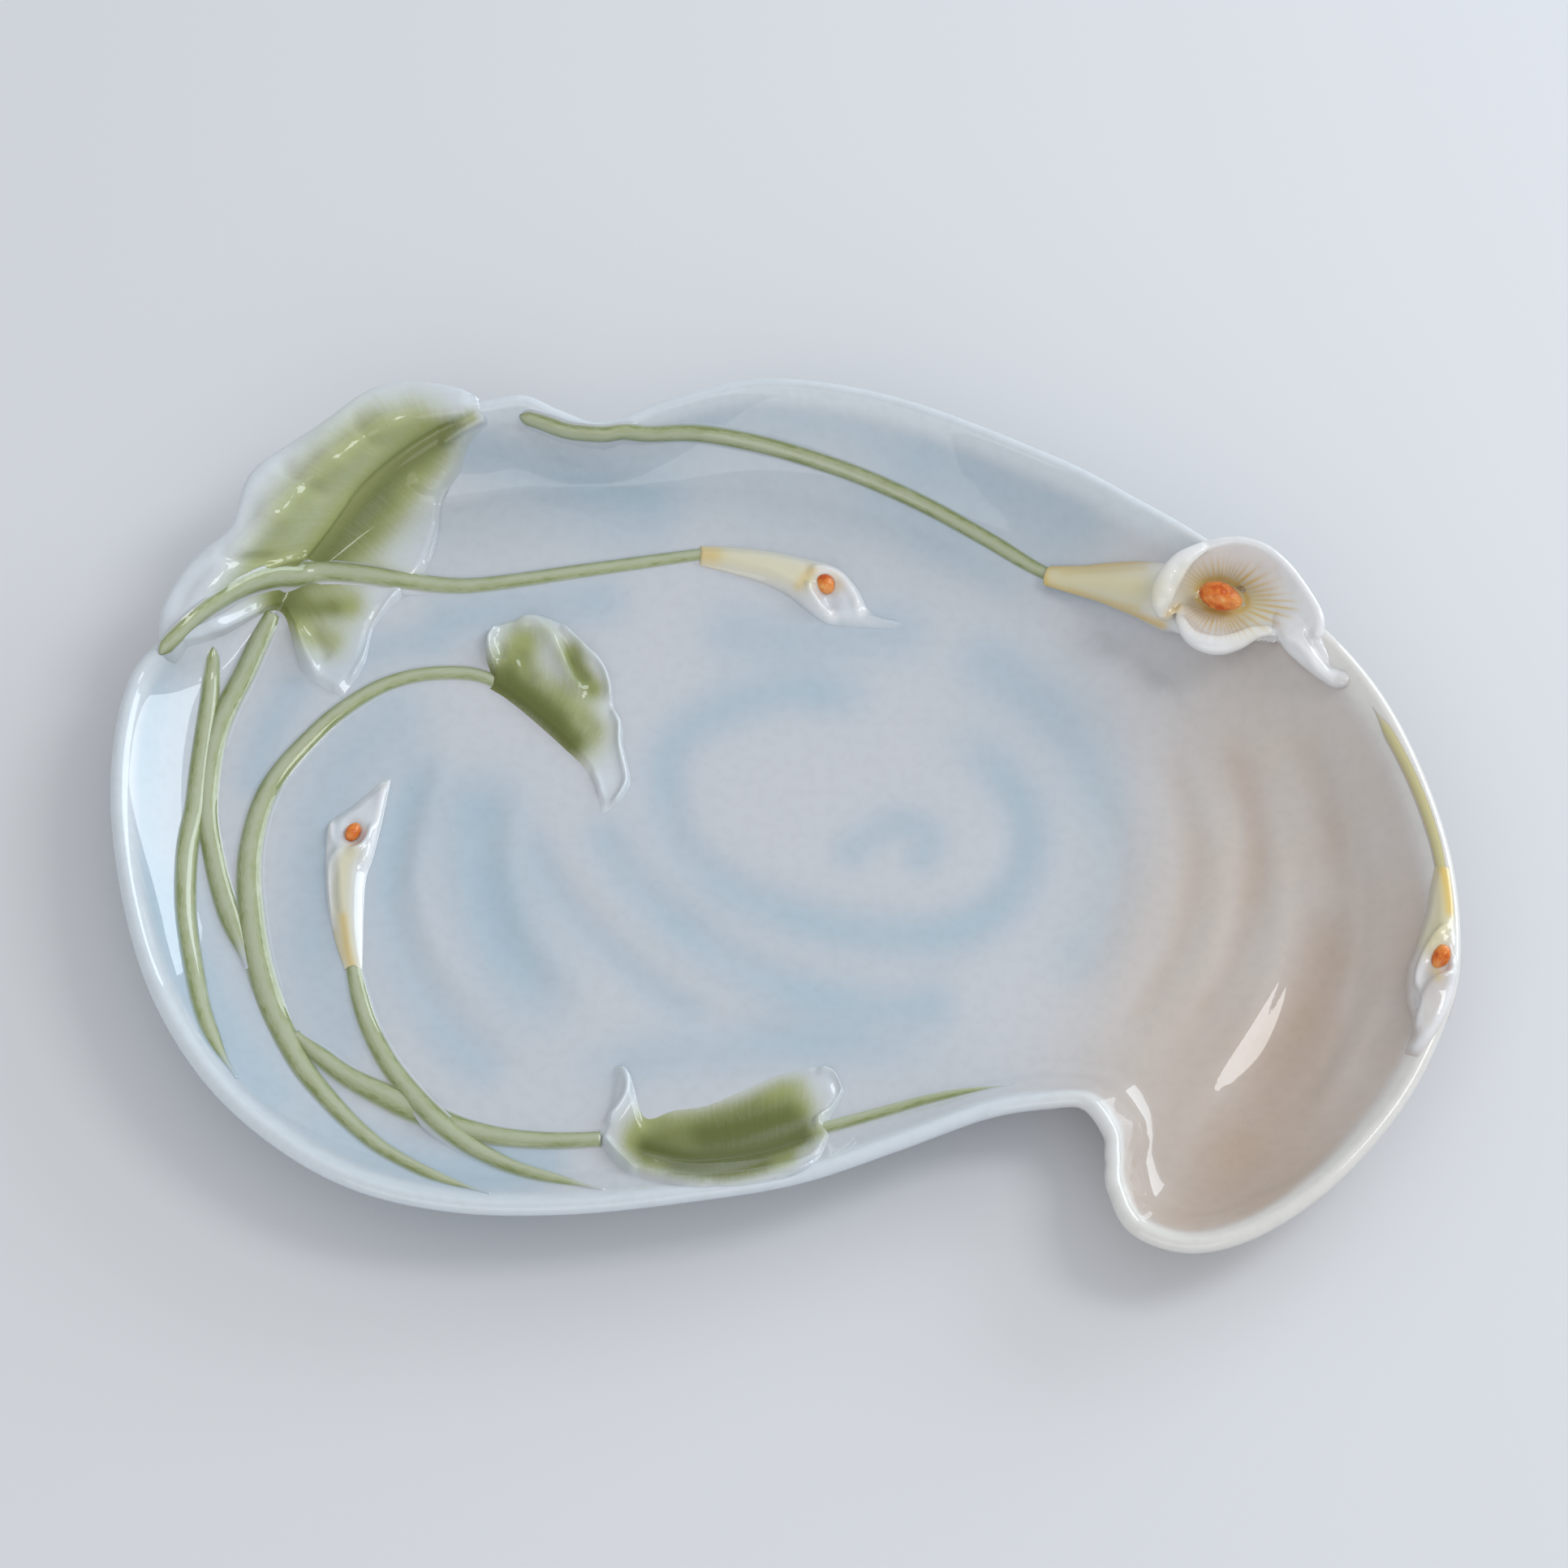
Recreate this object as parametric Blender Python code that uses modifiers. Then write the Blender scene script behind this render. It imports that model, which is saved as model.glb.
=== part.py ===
"""A porcelain dish with calla lilies in relief, about 26 cm long.

The dish is a shallow curling basin on a low foot ring. Leaves, stalks and flowers are formed
apart and set on the basin with slip before firing, so each is a solid of its own here.
Metres, +Z up, +X along the dish's length, with the tail of the dish towards +X and -Y.
The origin is under the middle of the dish, at the height of the table.
"""

import math

import bmesh
import bpy
import numpy as np
from mathutils import Vector
from mathutils.bvhtree import BVHTree

# Driving dimensions
DISH_LENGTH = 0.260
DISH_WIDTH = 0.198
BACK_RIM_HEIGHT = 0.024
WALL_THICKNESS = 0.0032
FLOOR_HEIGHT = 0.0075
FLOOR_SAG = 0.0006
LIP_ROUNDING = 0.0011
SEAT_GAP = 0.0003
LIP_REACH = 0.012
MERGE_DISTANCE = 0.00001

# The foot ring under the dish
FOOT_RING_WIDTH = 0.0045
FOOT_RING_STEPS = 72

# Stalks: half-round coils of clay laid on the basin
STALK_RADIUS = 0.0016
STALK_STEP = 0.0065
RIDING_STEP = 0.0035
LEAST_STALK_STEPS = 6
STALK_RISE_SHARE = 0.35
STALK_END_SHARE = 0.6

# Leaves: sheets of clay whose margins stand a little proud
LEAF_THICKNESS = 0.0015
LEAF_SINK = 0.0012
MARGIN_LIFT = 0.0011
LEAF_STEPS = 25
LEAF_HALF_STEPS = 6

# Buds and the open flower
BUD_RADIUS = 0.0032
BUD_RISE_SHARE = 0.25
BUD_STEPS = 10
FLOWER_HEIGHT = 0.0295
FLOWER_NECK_RADIUS = 0.0060
FLOWER_WALL = 0.0013
FLOWER_FLARE_SHARES = (0.35, 0.70)
FLOWER_NARROWING_SHARES = (0.06, 0.20, 0.42)
FLOWER_SPADIX_LENGTH = 0.0092
FLOWER_SPADIX_WIDTH = 0.0060
BUD_SPADIX_LENGTH = 0.0048
BUD_SPADIX_WIDTH = 0.0036
BUD_SPADIX_SINK = 0.0009
SPADIX_SIDES = 14
SPADIX_BANDS = 9

# How far the cutter under the pieces reaches down, and from how high the ground is looked for
BED_DEPTH = 0.012
CAST_HEIGHT = 0.060
MOST_MITRE_SHARE = 2.0

# Grooves that run down the tail, rings of the swirl that starts in the middle of the floor
GROOVE_HEIGHT = 0.0007
SWIRL_PITCH = 0.0135
SWIRL_CENTRE_SHARES = (0.080, -0.008)
GROOVE_START_SHARE = 0.28
GROOVE_FULL_SHARE = 0.42
GROOVE_FADE_SHARES = (0.30, 0.85)

# How the wall rises: plan position runs straight from foot to rim, height by this power
WALL_POWER = 1.6

# How finely the basin is divided, from its spine outwards and round it
LEFT_END_STEPS = 20
SIDE_STEPS = 36
TAIL_END_STEPS = 10
TAIL_CROWDING = 1.7
FLOOR_STEP_SHARES = (0.20, 0.40, 0.60, 0.80)
WALL_STEP_SHARES = (0.0, 0.20, 0.40, 0.60, 0.80, 1.0)

# Stations round the basin, clockwise from its left end, as seen from above. Each row holds the
# outside of the lip (shares of length, width and back rim height), the foot of the wall inside
# (shares of length and width) and the share of the spine that the station springs from.
STATION_SHARES = (
    (-0.494, -0.022, 0.79, -0.428, 0.017, 0.0),
    (-0.496, 0.067, 0.81, -0.428, 0.109, 0.0),
    (-0.487, 0.137, 0.83, -0.421, 0.174, 0.0),
    (-0.463, 0.179, 0.88, -0.410, 0.213, 0.0),
    (-0.445, 0.229, 0.92, -0.396, 0.244, 0.0),
    (-0.420, 0.279, 0.96, -0.378, 0.272, 0.0),
    (-0.393, 0.327, 1.00, -0.359, 0.299, 0.0),
    (-0.363, 0.377, 1.02, -0.339, 0.326, 0.0),
    (-0.328, 0.421, 1.04, -0.319, 0.354, 0.03),
    (-0.297, 0.448, 1.04, -0.296, 0.375, 0.07),
    (-0.265, 0.459, 1.04, -0.267, 0.391, 0.12),
    (-0.232, 0.463, 1.04, -0.233, 0.403, 0.18),
    (-0.198, 0.471, 1.04, -0.199, 0.410, 0.22),
    (-0.170, 0.458, 0.96, -0.171, 0.415, 0.25),
    (-0.135, 0.447, 0.90, -0.136, 0.418, 0.29),
    (-0.081, 0.476, 0.96, -0.082, 0.416, 0.34),
    (-0.006, 0.498, 1.00, -0.009, 0.410, 0.42),
    (0.095, 0.472, 1.00, 0.076, 0.381, 0.52),
    (0.213, 0.398, 1.00, 0.177, 0.310, 0.62),
    (0.275, 0.345, 1.00, 0.235, 0.249, 0.68),
    (0.329, 0.292, 1.00, 0.284, 0.191, 0.73),
    (0.397, 0.208, 1.00, 0.327, 0.123, 0.79),
    (0.446, 0.120, 1.00, 0.359, 0.054, 0.83),
    (0.477, 0.020, 0.98, 0.384, -0.026, 0.87),
    (0.495, -0.092, 0.96, 0.396, -0.107, 0.91),
    (0.495, -0.200, 0.92, 0.396, -0.186, 0.94),
    (0.479, -0.272, 0.88, 0.383, -0.255, 0.97),
    (0.447, -0.351, 0.81, 0.363, -0.309, 1.0),
    (0.397, -0.429, 0.77, 0.341, -0.358, 1.0),
    (0.343, -0.480, 0.73, 0.322, -0.394, 1.0),
    (0.294, -0.498, 0.71, 0.299, -0.409, 1.0),
    (0.254, -0.480, 0.71, 0.280, -0.394, 1.0),
    (0.239, -0.438, 0.71, 0.273, -0.367, 1.0),
    (0.238, -0.404, 0.71, 0.274, -0.340, 0.98),
    (0.236, -0.375, 0.71, 0.271, -0.311, 0.95),
    (0.219, -0.342, 0.71, 0.256, -0.284, 0.9),
    (0.191, -0.342, 0.71, 0.214, -0.269, 0.84),
    (0.147, -0.354, 0.71, 0.158, -0.275, 0.75),
    (0.082, -0.391, 0.73, 0.089, -0.305, 0.62),
    (0.013, -0.427, 0.75, 0.013, -0.337, 0.49),
    (-0.063, -0.446, 0.75, -0.064, -0.354, 0.37),
    (-0.149, -0.458, 0.73, -0.149, -0.363, 0.24),
    (-0.229, -0.456, 0.73, -0.219, -0.354, 0.11),
    (-0.300, -0.433, 0.73, -0.279, -0.329, 0.0),
    (-0.359, -0.386, 0.73, -0.330, -0.280, 0.0),
    (-0.411, -0.319, 0.75, -0.368, -0.213, 0.0),
    (-0.452, -0.230, 0.77, -0.401, -0.142, 0.0),
    (-0.478, -0.131, 0.79, -0.421, -0.065, 0.0),
)
LAST_LEFT_STATION = 7
FIRST_TAIL_STATION = 27
LAST_TAIL_STATION = 32
FIRST_LEFT_STATION = 43

# The spine that the floor grows from: left end to tail, shares of length and width
SPINE_SHARES = (
    (-0.268, 0.018),
    (-0.147, 0.056),
    (-0.018, 0.061),
    (0.074, 0.033),
    (0.165, -0.020),
    (0.230, -0.086),
    (0.282, -0.199),
    (0.304, -0.352),
)
SPINE_PLACE_SHARES = (0.0, 0.20, 0.40, 0.55, 0.70, 0.80, 0.90, 1.0)

# The outside of the foot ring, clockwise as seen from above, shares of length and width
FOOT_RING_SHARES = (
    (-0.387, 0.060), (-0.332, 0.250), (-0.198, 0.351), (-0.020, 0.354), (0.119, 0.297),
    (0.223, 0.193), (0.308, 0.070), (0.345, -0.028), (0.355, -0.117), (0.350, -0.196),
    (0.325, -0.250), (0.283, -0.255), (0.238, -0.220), (0.179, -0.210), (0.079, -0.250),
    (-0.030, -0.292), (-0.159, -0.312), (-0.288, -0.250), (-0.367, -0.117),
)

# Where each stalk runs, as shares of length and width
STALK_ROUTE_SHARES = {
    "rim_flower_stem": (
        (-0.206, 0.448), (-0.163, 0.436), (-0.125, 0.436), (-0.069, 0.449), (-0.006, 0.446),
        (0.058, 0.420), (0.121, 0.378), (0.171, 0.334), (0.210, 0.297),
    ),
    "centre_bud_stem": (
        (-0.464, 0.159), (-0.448, 0.193), (-0.426, 0.232), (-0.403, 0.263), (-0.380, 0.285),
        (-0.351, 0.300), (-0.320, 0.302), (-0.288, 0.295), (-0.237, 0.290), (-0.163, 0.305),
        (-0.100, 0.320), (-0.058, 0.328),
    ),
    "left_stem_outer": (
        (-0.431, 0.194), (-0.433, 0.155), (-0.437, 0.077), (-0.438, 0.012), (-0.440, -0.057),
        (-0.438, -0.123), (-0.430, -0.183), (-0.419, -0.238), (-0.390, -0.318),
    ),
    "left_stem_inner": (
        (-0.389, 0.228), (-0.407, 0.179), (-0.422, 0.109), (-0.427, 0.050), (-0.427, 0.008),
        (-0.422, -0.036), (-0.412, -0.083), (-0.397, -0.132),
    ),
    "curled_leaf_stalk": (
        (-0.222, 0.179), (-0.247, 0.182), (-0.285, 0.178), (-0.321, 0.150), (-0.356, 0.100),
        (-0.384, 0.042), (-0.394, -0.026), (-0.394, -0.083), (-0.386, -0.149),
        (-0.371, -0.214), (-0.347, -0.279), (-0.316, -0.337), (-0.279, -0.388),
        (-0.242, -0.421), (-0.206, -0.441),
    ),
    "front_leaf_stalk": (
        (-0.353, -0.252), (-0.318, -0.286), (-0.282, -0.314), (-0.258, -0.332),
        (-0.234, -0.345), (-0.198, -0.358), (-0.123, -0.361),
    ),
    "left_bud_stem": (
        (-0.314, -0.162), (-0.303, -0.222), (-0.283, -0.277), (-0.258, -0.323),
        (-0.227, -0.364), (-0.186, -0.402), (-0.131, -0.433),
    ),
    "front_leaf_far_stalk": (
        (0.045, -0.350), (0.083, -0.333), (0.130, -0.319), (0.168, -0.315),
    ),
    "side_bud_stem": (
        (0.444, 0.094), (0.460, 0.046), (0.476, -0.040), (0.486, -0.110),
    ),
}

# Where each bud lies and how it swells: shares of length, width and bud radius
BUD_ROUTE_SHARES = {
    "centre_bud": (
        (-0.063, 0.328, 0.55), (-0.037, 0.326, 0.66), (-0.006, 0.320, 0.84), (0.026, 0.308, 1.0),
        (0.046, 0.287, 0.95), (0.064, 0.262, 0.66), (0.088, 0.244, 0.20),
    ),
    "left_bud": (
        (-0.313, -0.169, 0.52), (-0.321, -0.130, 0.70), (-0.327, -0.082, 0.88),
        (-0.330, -0.044, 0.95), (-0.324, -0.006, 0.90), (-0.311, 0.028, 0.55),
        (-0.296, 0.051, 0.20),
    ),
    "side_bud": (
        (0.486, -0.107, 0.56), (0.484, -0.138, 0.75), (0.480, -0.173, 0.92),
        (0.475, -0.216, 0.98), (0.469, -0.262, 0.75), (0.464, -0.297, 0.30),
    ),
}
# The middle of each bud's spadix, and where its tip points
BUD_SPADIX_SHARES = {
    "centre_bud": ((0.034, 0.296), (0.044, 0.282)),
    "left_bud": ((-0.323, -0.014), (-0.320, 0.001)),
    "side_bud": ((0.479, -0.196), (0.477, -0.214)),
}

# Each leaf from its base to its tip: left margin, rib and right margin
LEAF_ROW_SHARES = {
    "rim_leaf": (
        (-0.466, 0.161, -0.388, 0.262, -0.347, 0.151),
        (-0.466, 0.203, -0.377, 0.284, -0.328, 0.161),
        (-0.449, 0.250, -0.362, 0.312, -0.317, 0.218),
        (-0.421, 0.287, -0.345, 0.344, -0.294, 0.271),
        (-0.405, 0.356, -0.327, 0.373, -0.274, 0.309),
        (-0.372, 0.397, -0.306, 0.398, -0.266, 0.361),
        (-0.338, 0.440, -0.283, 0.421, -0.260, 0.400),
        (-0.302, 0.474, -0.260, 0.437, -0.246, 0.423),
        (-0.260, 0.474, -0.238, 0.447, -0.234, 0.435),
        (-0.218, 0.458, -0.214, 0.452, -0.214, 0.447),
    ),
    "curled_leaf": (
        (-0.222, 0.165, -0.212, 0.187, -0.220, 0.220),
        (-0.203, 0.147, -0.194, 0.186, -0.201, 0.238),
        (-0.189, 0.126, -0.177, 0.172, -0.177, 0.242),
        (-0.172, 0.104, -0.161, 0.149, -0.151, 0.216),
        (-0.159, 0.088, -0.147, 0.122, -0.130, 0.169),
        (-0.146, 0.068, -0.138, 0.090, -0.121, 0.115),
        (-0.137, 0.043, -0.130, 0.056, -0.116, 0.060),
        (-0.132, 0.019, -0.129, 0.018, -0.126, 0.021),
    ),
    "front_leaf": (
        (-0.129, -0.339, -0.127, -0.363, -0.123, -0.391),
        (-0.114, -0.314, -0.109, -0.365, -0.103, -0.408),
        (-0.095, -0.335, -0.089, -0.377, -0.085, -0.422),
        (-0.064, -0.329, -0.060, -0.385, -0.063, -0.436),
        (-0.035, -0.311, -0.034, -0.384, -0.034, -0.442),
        (-0.005, -0.292, -0.005, -0.372, 0.001, -0.435),
        (0.025, -0.283, 0.025, -0.357, 0.024, -0.418),
        (0.043, -0.297, 0.046, -0.343, 0.046, -0.398),
        (0.050, -0.314, 0.053, -0.338, 0.052, -0.373),
    ),
}

# The open flower: its tube on the wall, as shares of length, width and neck radius, then the
# margin of its mouth, as shares of length, width and flower height, seen clockwise
FLOWER_TUBE_SHARES = (
    (0.207, 0.298, 0.28), (0.238, 0.284, 0.43), (0.266, 0.269, 0.63), (0.290, 0.252, 0.85),
    (0.307, 0.238, 1.0),
)
FLOWER_MOUTH_SHARES = (
    (0.300, 0.246, 0.88), (0.315, 0.258, 0.95), (0.333, 0.270, 0.98), (0.355, 0.271, 1.00),
    (0.376, 0.263, 0.98), (0.394, 0.240, 0.97), (0.408, 0.205, 0.93), (0.412, 0.177, 0.90),
    (0.409, 0.155, 0.88), (0.416, 0.135, 0.85), (0.426, 0.123, 0.83), (0.420, 0.111, 0.81),
    (0.403, 0.120, 0.81), (0.392, 0.141, 0.80), (0.384, 0.167, 0.75), (0.374, 0.182, 0.71),
    (0.360, 0.184, 0.66), (0.344, 0.176, 0.63), (0.326, 0.173, 0.61), (0.312, 0.177, 0.64),
    (0.302, 0.189, 0.71), (0.297, 0.216, 0.80),
)
# Which points of the margin meet the top, the two sides and the underside of the tube
MOUTH_STATIONS = (0, 3, 9.5, 17.5, 22)
MOUTH_TURN_SHARES = (0.08, 0.25, 0.50, 0.75, 1.08)
# The middle of its spadix and where it points: shares of length, width and spadix width, the
# last one above the floor of the flower's throat
FLOWER_SPADIX_SHARES = (0.335, 0.224, 0.69)
FLOWER_SPADIX_TIP_SHARES = (0.353, 0.210, 1.18)

# Which piece each stem rides over, and what each piece is cut clear of besides the basin
RIDES_OVER = {"centre_bud_stem": "rim_leaf", "left_bud_stem": "front_leaf_stalk"}
CLEAR_OF = {
    "left_stem_outer": ("rim_leaf",),
    "left_stem_inner": ("rim_leaf", "left_stem_outer", "curled_leaf_stalk"),
    "centre_bud_stem": ("rim_leaf",),
    "rim_flower_stem": ("rim_leaf",),
    "front_leaf_stalk": ("curled_leaf_stalk",),
    "left_bud_stem": ("front_leaf_stalk",),
    "curled_leaf": ("curled_leaf_stalk",),
    "front_leaf": ("front_leaf_stalk", "front_leaf_far_stalk", "left_bud_stem"),
    "rim_flower_spathe": ("rim_flower_stem", "rim_flower_spadix"),
    "centre_bud_spathe": ("centre_bud_stem", "centre_bud_spadix"),
    "left_bud_spathe": ("left_bud_stem", "left_bud_spadix"),
    "side_bud_spathe": ("side_bud_stem", "side_bud_spadix"),
}

# Colours of the glazes
GLAZE_BLUE = (0.55, 0.66, 0.74)
GLAZE_GREEN = (0.36, 0.42, 0.20)
GLAZE_CREAM = (0.82, 0.78, 0.60)
GLAZE_ORANGE = (0.80, 0.32, 0.14)
BARE_PORCELAIN = (0.80, 0.79, 0.76)
GLAZE_ROUGHNESS = 0.12
BARE_ROUGHNESS = 0.60


def clear_scene():
    """Removes whatever the scene holds."""
    for thing in list(bpy.data.objects):
        bpy.data.objects.remove(thing, do_unlink=True)


def smooth_rows(rows, positions, closed=False):
    """Rows read between their stations on a smooth curve that passes through each of them."""
    rows = np.asarray(rows, float)
    count = len(rows)
    out = []
    for position in positions:
        whole = math.floor(position) if closed else min(math.floor(position), count - 2)
        part = position - whole
        near = [whole - 1, whole, whole + 1, whole + 2]
        if closed:
            near = [i % count for i in near]
        else:
            near = [min(max(i, 0), count - 1) for i in near]
        a, b, c, d = rows[near]
        out.append(
            0.5
            * (
                2 * b
                + (c - a) * part
                + (2 * a - 5 * b + 4 * c - d) * part**2
                + (3 * b - a - 3 * c + d) * part**3
            )
        )
    return np.array(out)


def evenly(rows, steps):
    """A table of rows read at evenly spaced places from its first row to its last."""
    return smooth_rows(rows, np.linspace(0, len(rows) - 1, steps))


def around_positions():
    """Station positions round the basin, so that both sides meet the spine at the same places."""
    spring = np.array([row[5] for row in STATION_SHARES])
    crowd = 1 - (1 - np.arange(SIDE_STEPS) / SIDE_STEPS) ** TAIL_CROWDING
    left_end = len(STATION_SHARES) + LAST_LEFT_STATION
    left = np.linspace(FIRST_LEFT_STATION, left_end, LEFT_END_STEPS + 1)[:-1]
    back_stations = np.arange(LAST_LEFT_STATION, FIRST_TAIL_STATION + 1)
    back = np.interp(crowd, spring[back_stations], back_stations)
    tail = np.linspace(FIRST_TAIL_STATION, LAST_TAIL_STATION, TAIL_END_STEPS + 1)[:-1]
    front_stations = np.arange(FIRST_LEFT_STATION, LAST_TAIL_STATION - 1, -1)
    mirrored = np.concatenate([[1.0], crowd[:0:-1]])
    front = np.interp(mirrored, spring[front_stations], front_stations)
    ends = np.zeros(LEFT_END_STEPS), np.ones(TAIL_END_STEPS)
    places = np.concatenate([ends[0], crowd, ends[1], mirrored])
    return np.concatenate([left, back, tail, front]), places


def moved_inwards(points, distance):
    """A closed plan outline moved inwards by a distance at each point, square to itself."""
    ahead = np.roll(points, -1, axis=0) - np.roll(points, 1, axis=0)
    ahead = ahead / np.linalg.norm(ahead, axis=1)[:, None]
    inward = np.stack([ahead[:, 1], -ahead[:, 0]], axis=1)
    return points + np.reshape(distance, (-1, 1)) * inward


def soft_step(value, low, high):
    """0 below low, 1 above high, and a smooth rise between them."""
    part = np.clip((value - low) / (high - low), 0.0, 1.0)
    return part * part * (3 - 2 * part)


class Basin:
    """The inside surface of the dish, as rings from the spine out to the lip."""

    def __init__(self):
        size = np.array([DISH_LENGTH, DISH_WIDTH])
        positions, places = around_positions()
        stations = smooth_rows(STATION_SHARES, positions, closed=True)
        outside = stations[:, 0:2] * size
        self.rim_height = stations[:, 2] * BACK_RIM_HEIGHT
        self.foot = stations[:, 3:5] * size
        run = np.linalg.norm(outside - self.foot, axis=1)
        rise = WALL_POWER * (self.rim_height - FLOOR_HEIGHT)
        lean = rise / np.hypot(rise, run)
        self.rim = moved_inwards(outside, WALL_THICKNESS * lean - LIP_ROUNDING)
        along = np.interp(places, SPINE_PLACE_SHARES, np.arange(len(SPINE_SHARES)))
        self.spine = smooth_rows(SPINE_SHARES, along) * size

    def floor_ring(self, share):
        """Points of the floor ring that lies this share of the way from spine to wall."""
        plan = self.spine + share * (self.foot - self.spine)
        height = FLOOR_HEIGHT - FLOOR_SAG * (1 - share**2)
        return np.column_stack([plan, height + self.groove(plan)])

    def wall_ring(self, share):
        """Points of the wall ring that lies this share of the way from foot to lip."""
        plan = self.foot + share * (self.rim - self.foot)
        height = FLOOR_HEIGHT + share**WALL_POWER * (self.rim_height - FLOOR_HEIGHT)
        fade = 1 - soft_step(share, *GROOVE_FADE_SHARES)
        return np.column_stack([plan, height + fade * self.groove(plan)])

    def groove(self, plan):
        """Height of the grooves in the tail, which are rings round the eye of the swirl."""
        away = plan - np.array(SWIRL_CENTRE_SHARES) * (DISH_LENGTH, DISH_WIDTH)
        radius = np.linalg.norm(away, axis=1)
        turn = np.arctan2(away[:, 1], away[:, 0])
        start, full = GROOVE_START_SHARE * DISH_LENGTH, GROOVE_FULL_SHARE * DISH_LENGTH
        reach = soft_step(away[:, 0] - away[:, 1], start, full)
        return reach * GROOVE_HEIGHT * np.cos(2 * math.pi * radius / SWIRL_PITCH - turn)

    def rings(self):
        """Every ring of the surface, from the spine outwards."""
        spine = self.floor_ring(0.0)
        floor = [self.floor_ring(share) for share in FLOOR_STEP_SHARES]
        wall = [self.wall_ring(share) for share in WALL_STEP_SHARES]
        return [spine, *floor, *wall]

    def flange(self):
        """A level ring outside the lip, for what reaches over it."""
        plan = moved_inwards(self.rim, -LIP_REACH)
        return np.column_stack([plan, self.rim_height])


def loft_rings(rings):
    """A mesh in bmesh form that joins each closed ring of points to the next."""
    shape = bmesh.new()
    rows = [[shape.verts.new(point) for point in ring] for ring in rings]
    for inner, outer in zip(rows, rows[1:]):
        for i in range(len(inner)):
            j = (i + 1) % len(inner)
            shape.faces.new((inner[i], outer[i], outer[j], inner[j]))
    bmesh.ops.triangulate(shape, faces=shape.faces, quad_method="FIXED")
    return shape


def face_out(shape):
    """Turns the faces of a closed body outwards, and those of an open sheet upwards."""
    bmesh.ops.recalc_face_normals(shape, faces=shape.faces)
    open_sheet = any(edge.is_boundary for edge in shape.edges)
    if open_sheet and sum(face.normal.z for face in shape.faces) < 0:
        bmesh.ops.reverse_faces(shape, faces=shape.faces)
    shape.normal_update()


def raised_surface(basin, lift):
    """The basin's inside with its flange, moved up square to itself, in bmesh form."""
    shape = loft_rings([*basin.rings(), basin.flange()])
    bmesh.ops.remove_doubles(shape, verts=shape.verts, dist=MERGE_DISTANCE)
    face_out(shape)
    for vert in shape.verts:
        vert.co += vert.normal * lift
    return shape


def plan_place(share_x, share_y):
    """A place on the plan from its shares of length and width."""
    return np.array([share_x * DISH_LENGTH, share_y * DISH_WIDTH])


class Ground:
    """What a piece lies on: the basin, and perhaps a piece that was laid there before it."""

    def __init__(self, basin_tree, laid_tree=None):
        self.basin_tree = basin_tree
        self.laid_tree = laid_tree

    def seen_from_above(self, tree, plan):
        """The highest point of a surface at a place on the plan, and which way it faces."""
        start = Vector((plan[0], plan[1], CAST_HEIGHT))
        place, facing, _, _ = tree.ray_cast(start, Vector((0, 0, -1)))
        return place, facing

    def under(self, plan):
        """The basin at a place on the plan, and which way it faces."""
        place, facing = self.seen_from_above(self.basin_tree, plan)
        return np.array(place), np.array(facing)

    def laid_height(self, plan, reach):
        """How far the laid piece stands above the basin, at most, within reach of a place."""
        if self.laid_tree is None:
            return 0.0
        heights = [0.0]
        for step in ((0, 0), (reach, 0), (-reach, 0), (0, reach), (0, -reach)):
            place, _ = self.seen_from_above(self.laid_tree, plan + step)
            if place is not None:
                heights.append(place.z - self.under(plan + step)[0][2])
        return max(heights)


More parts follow.
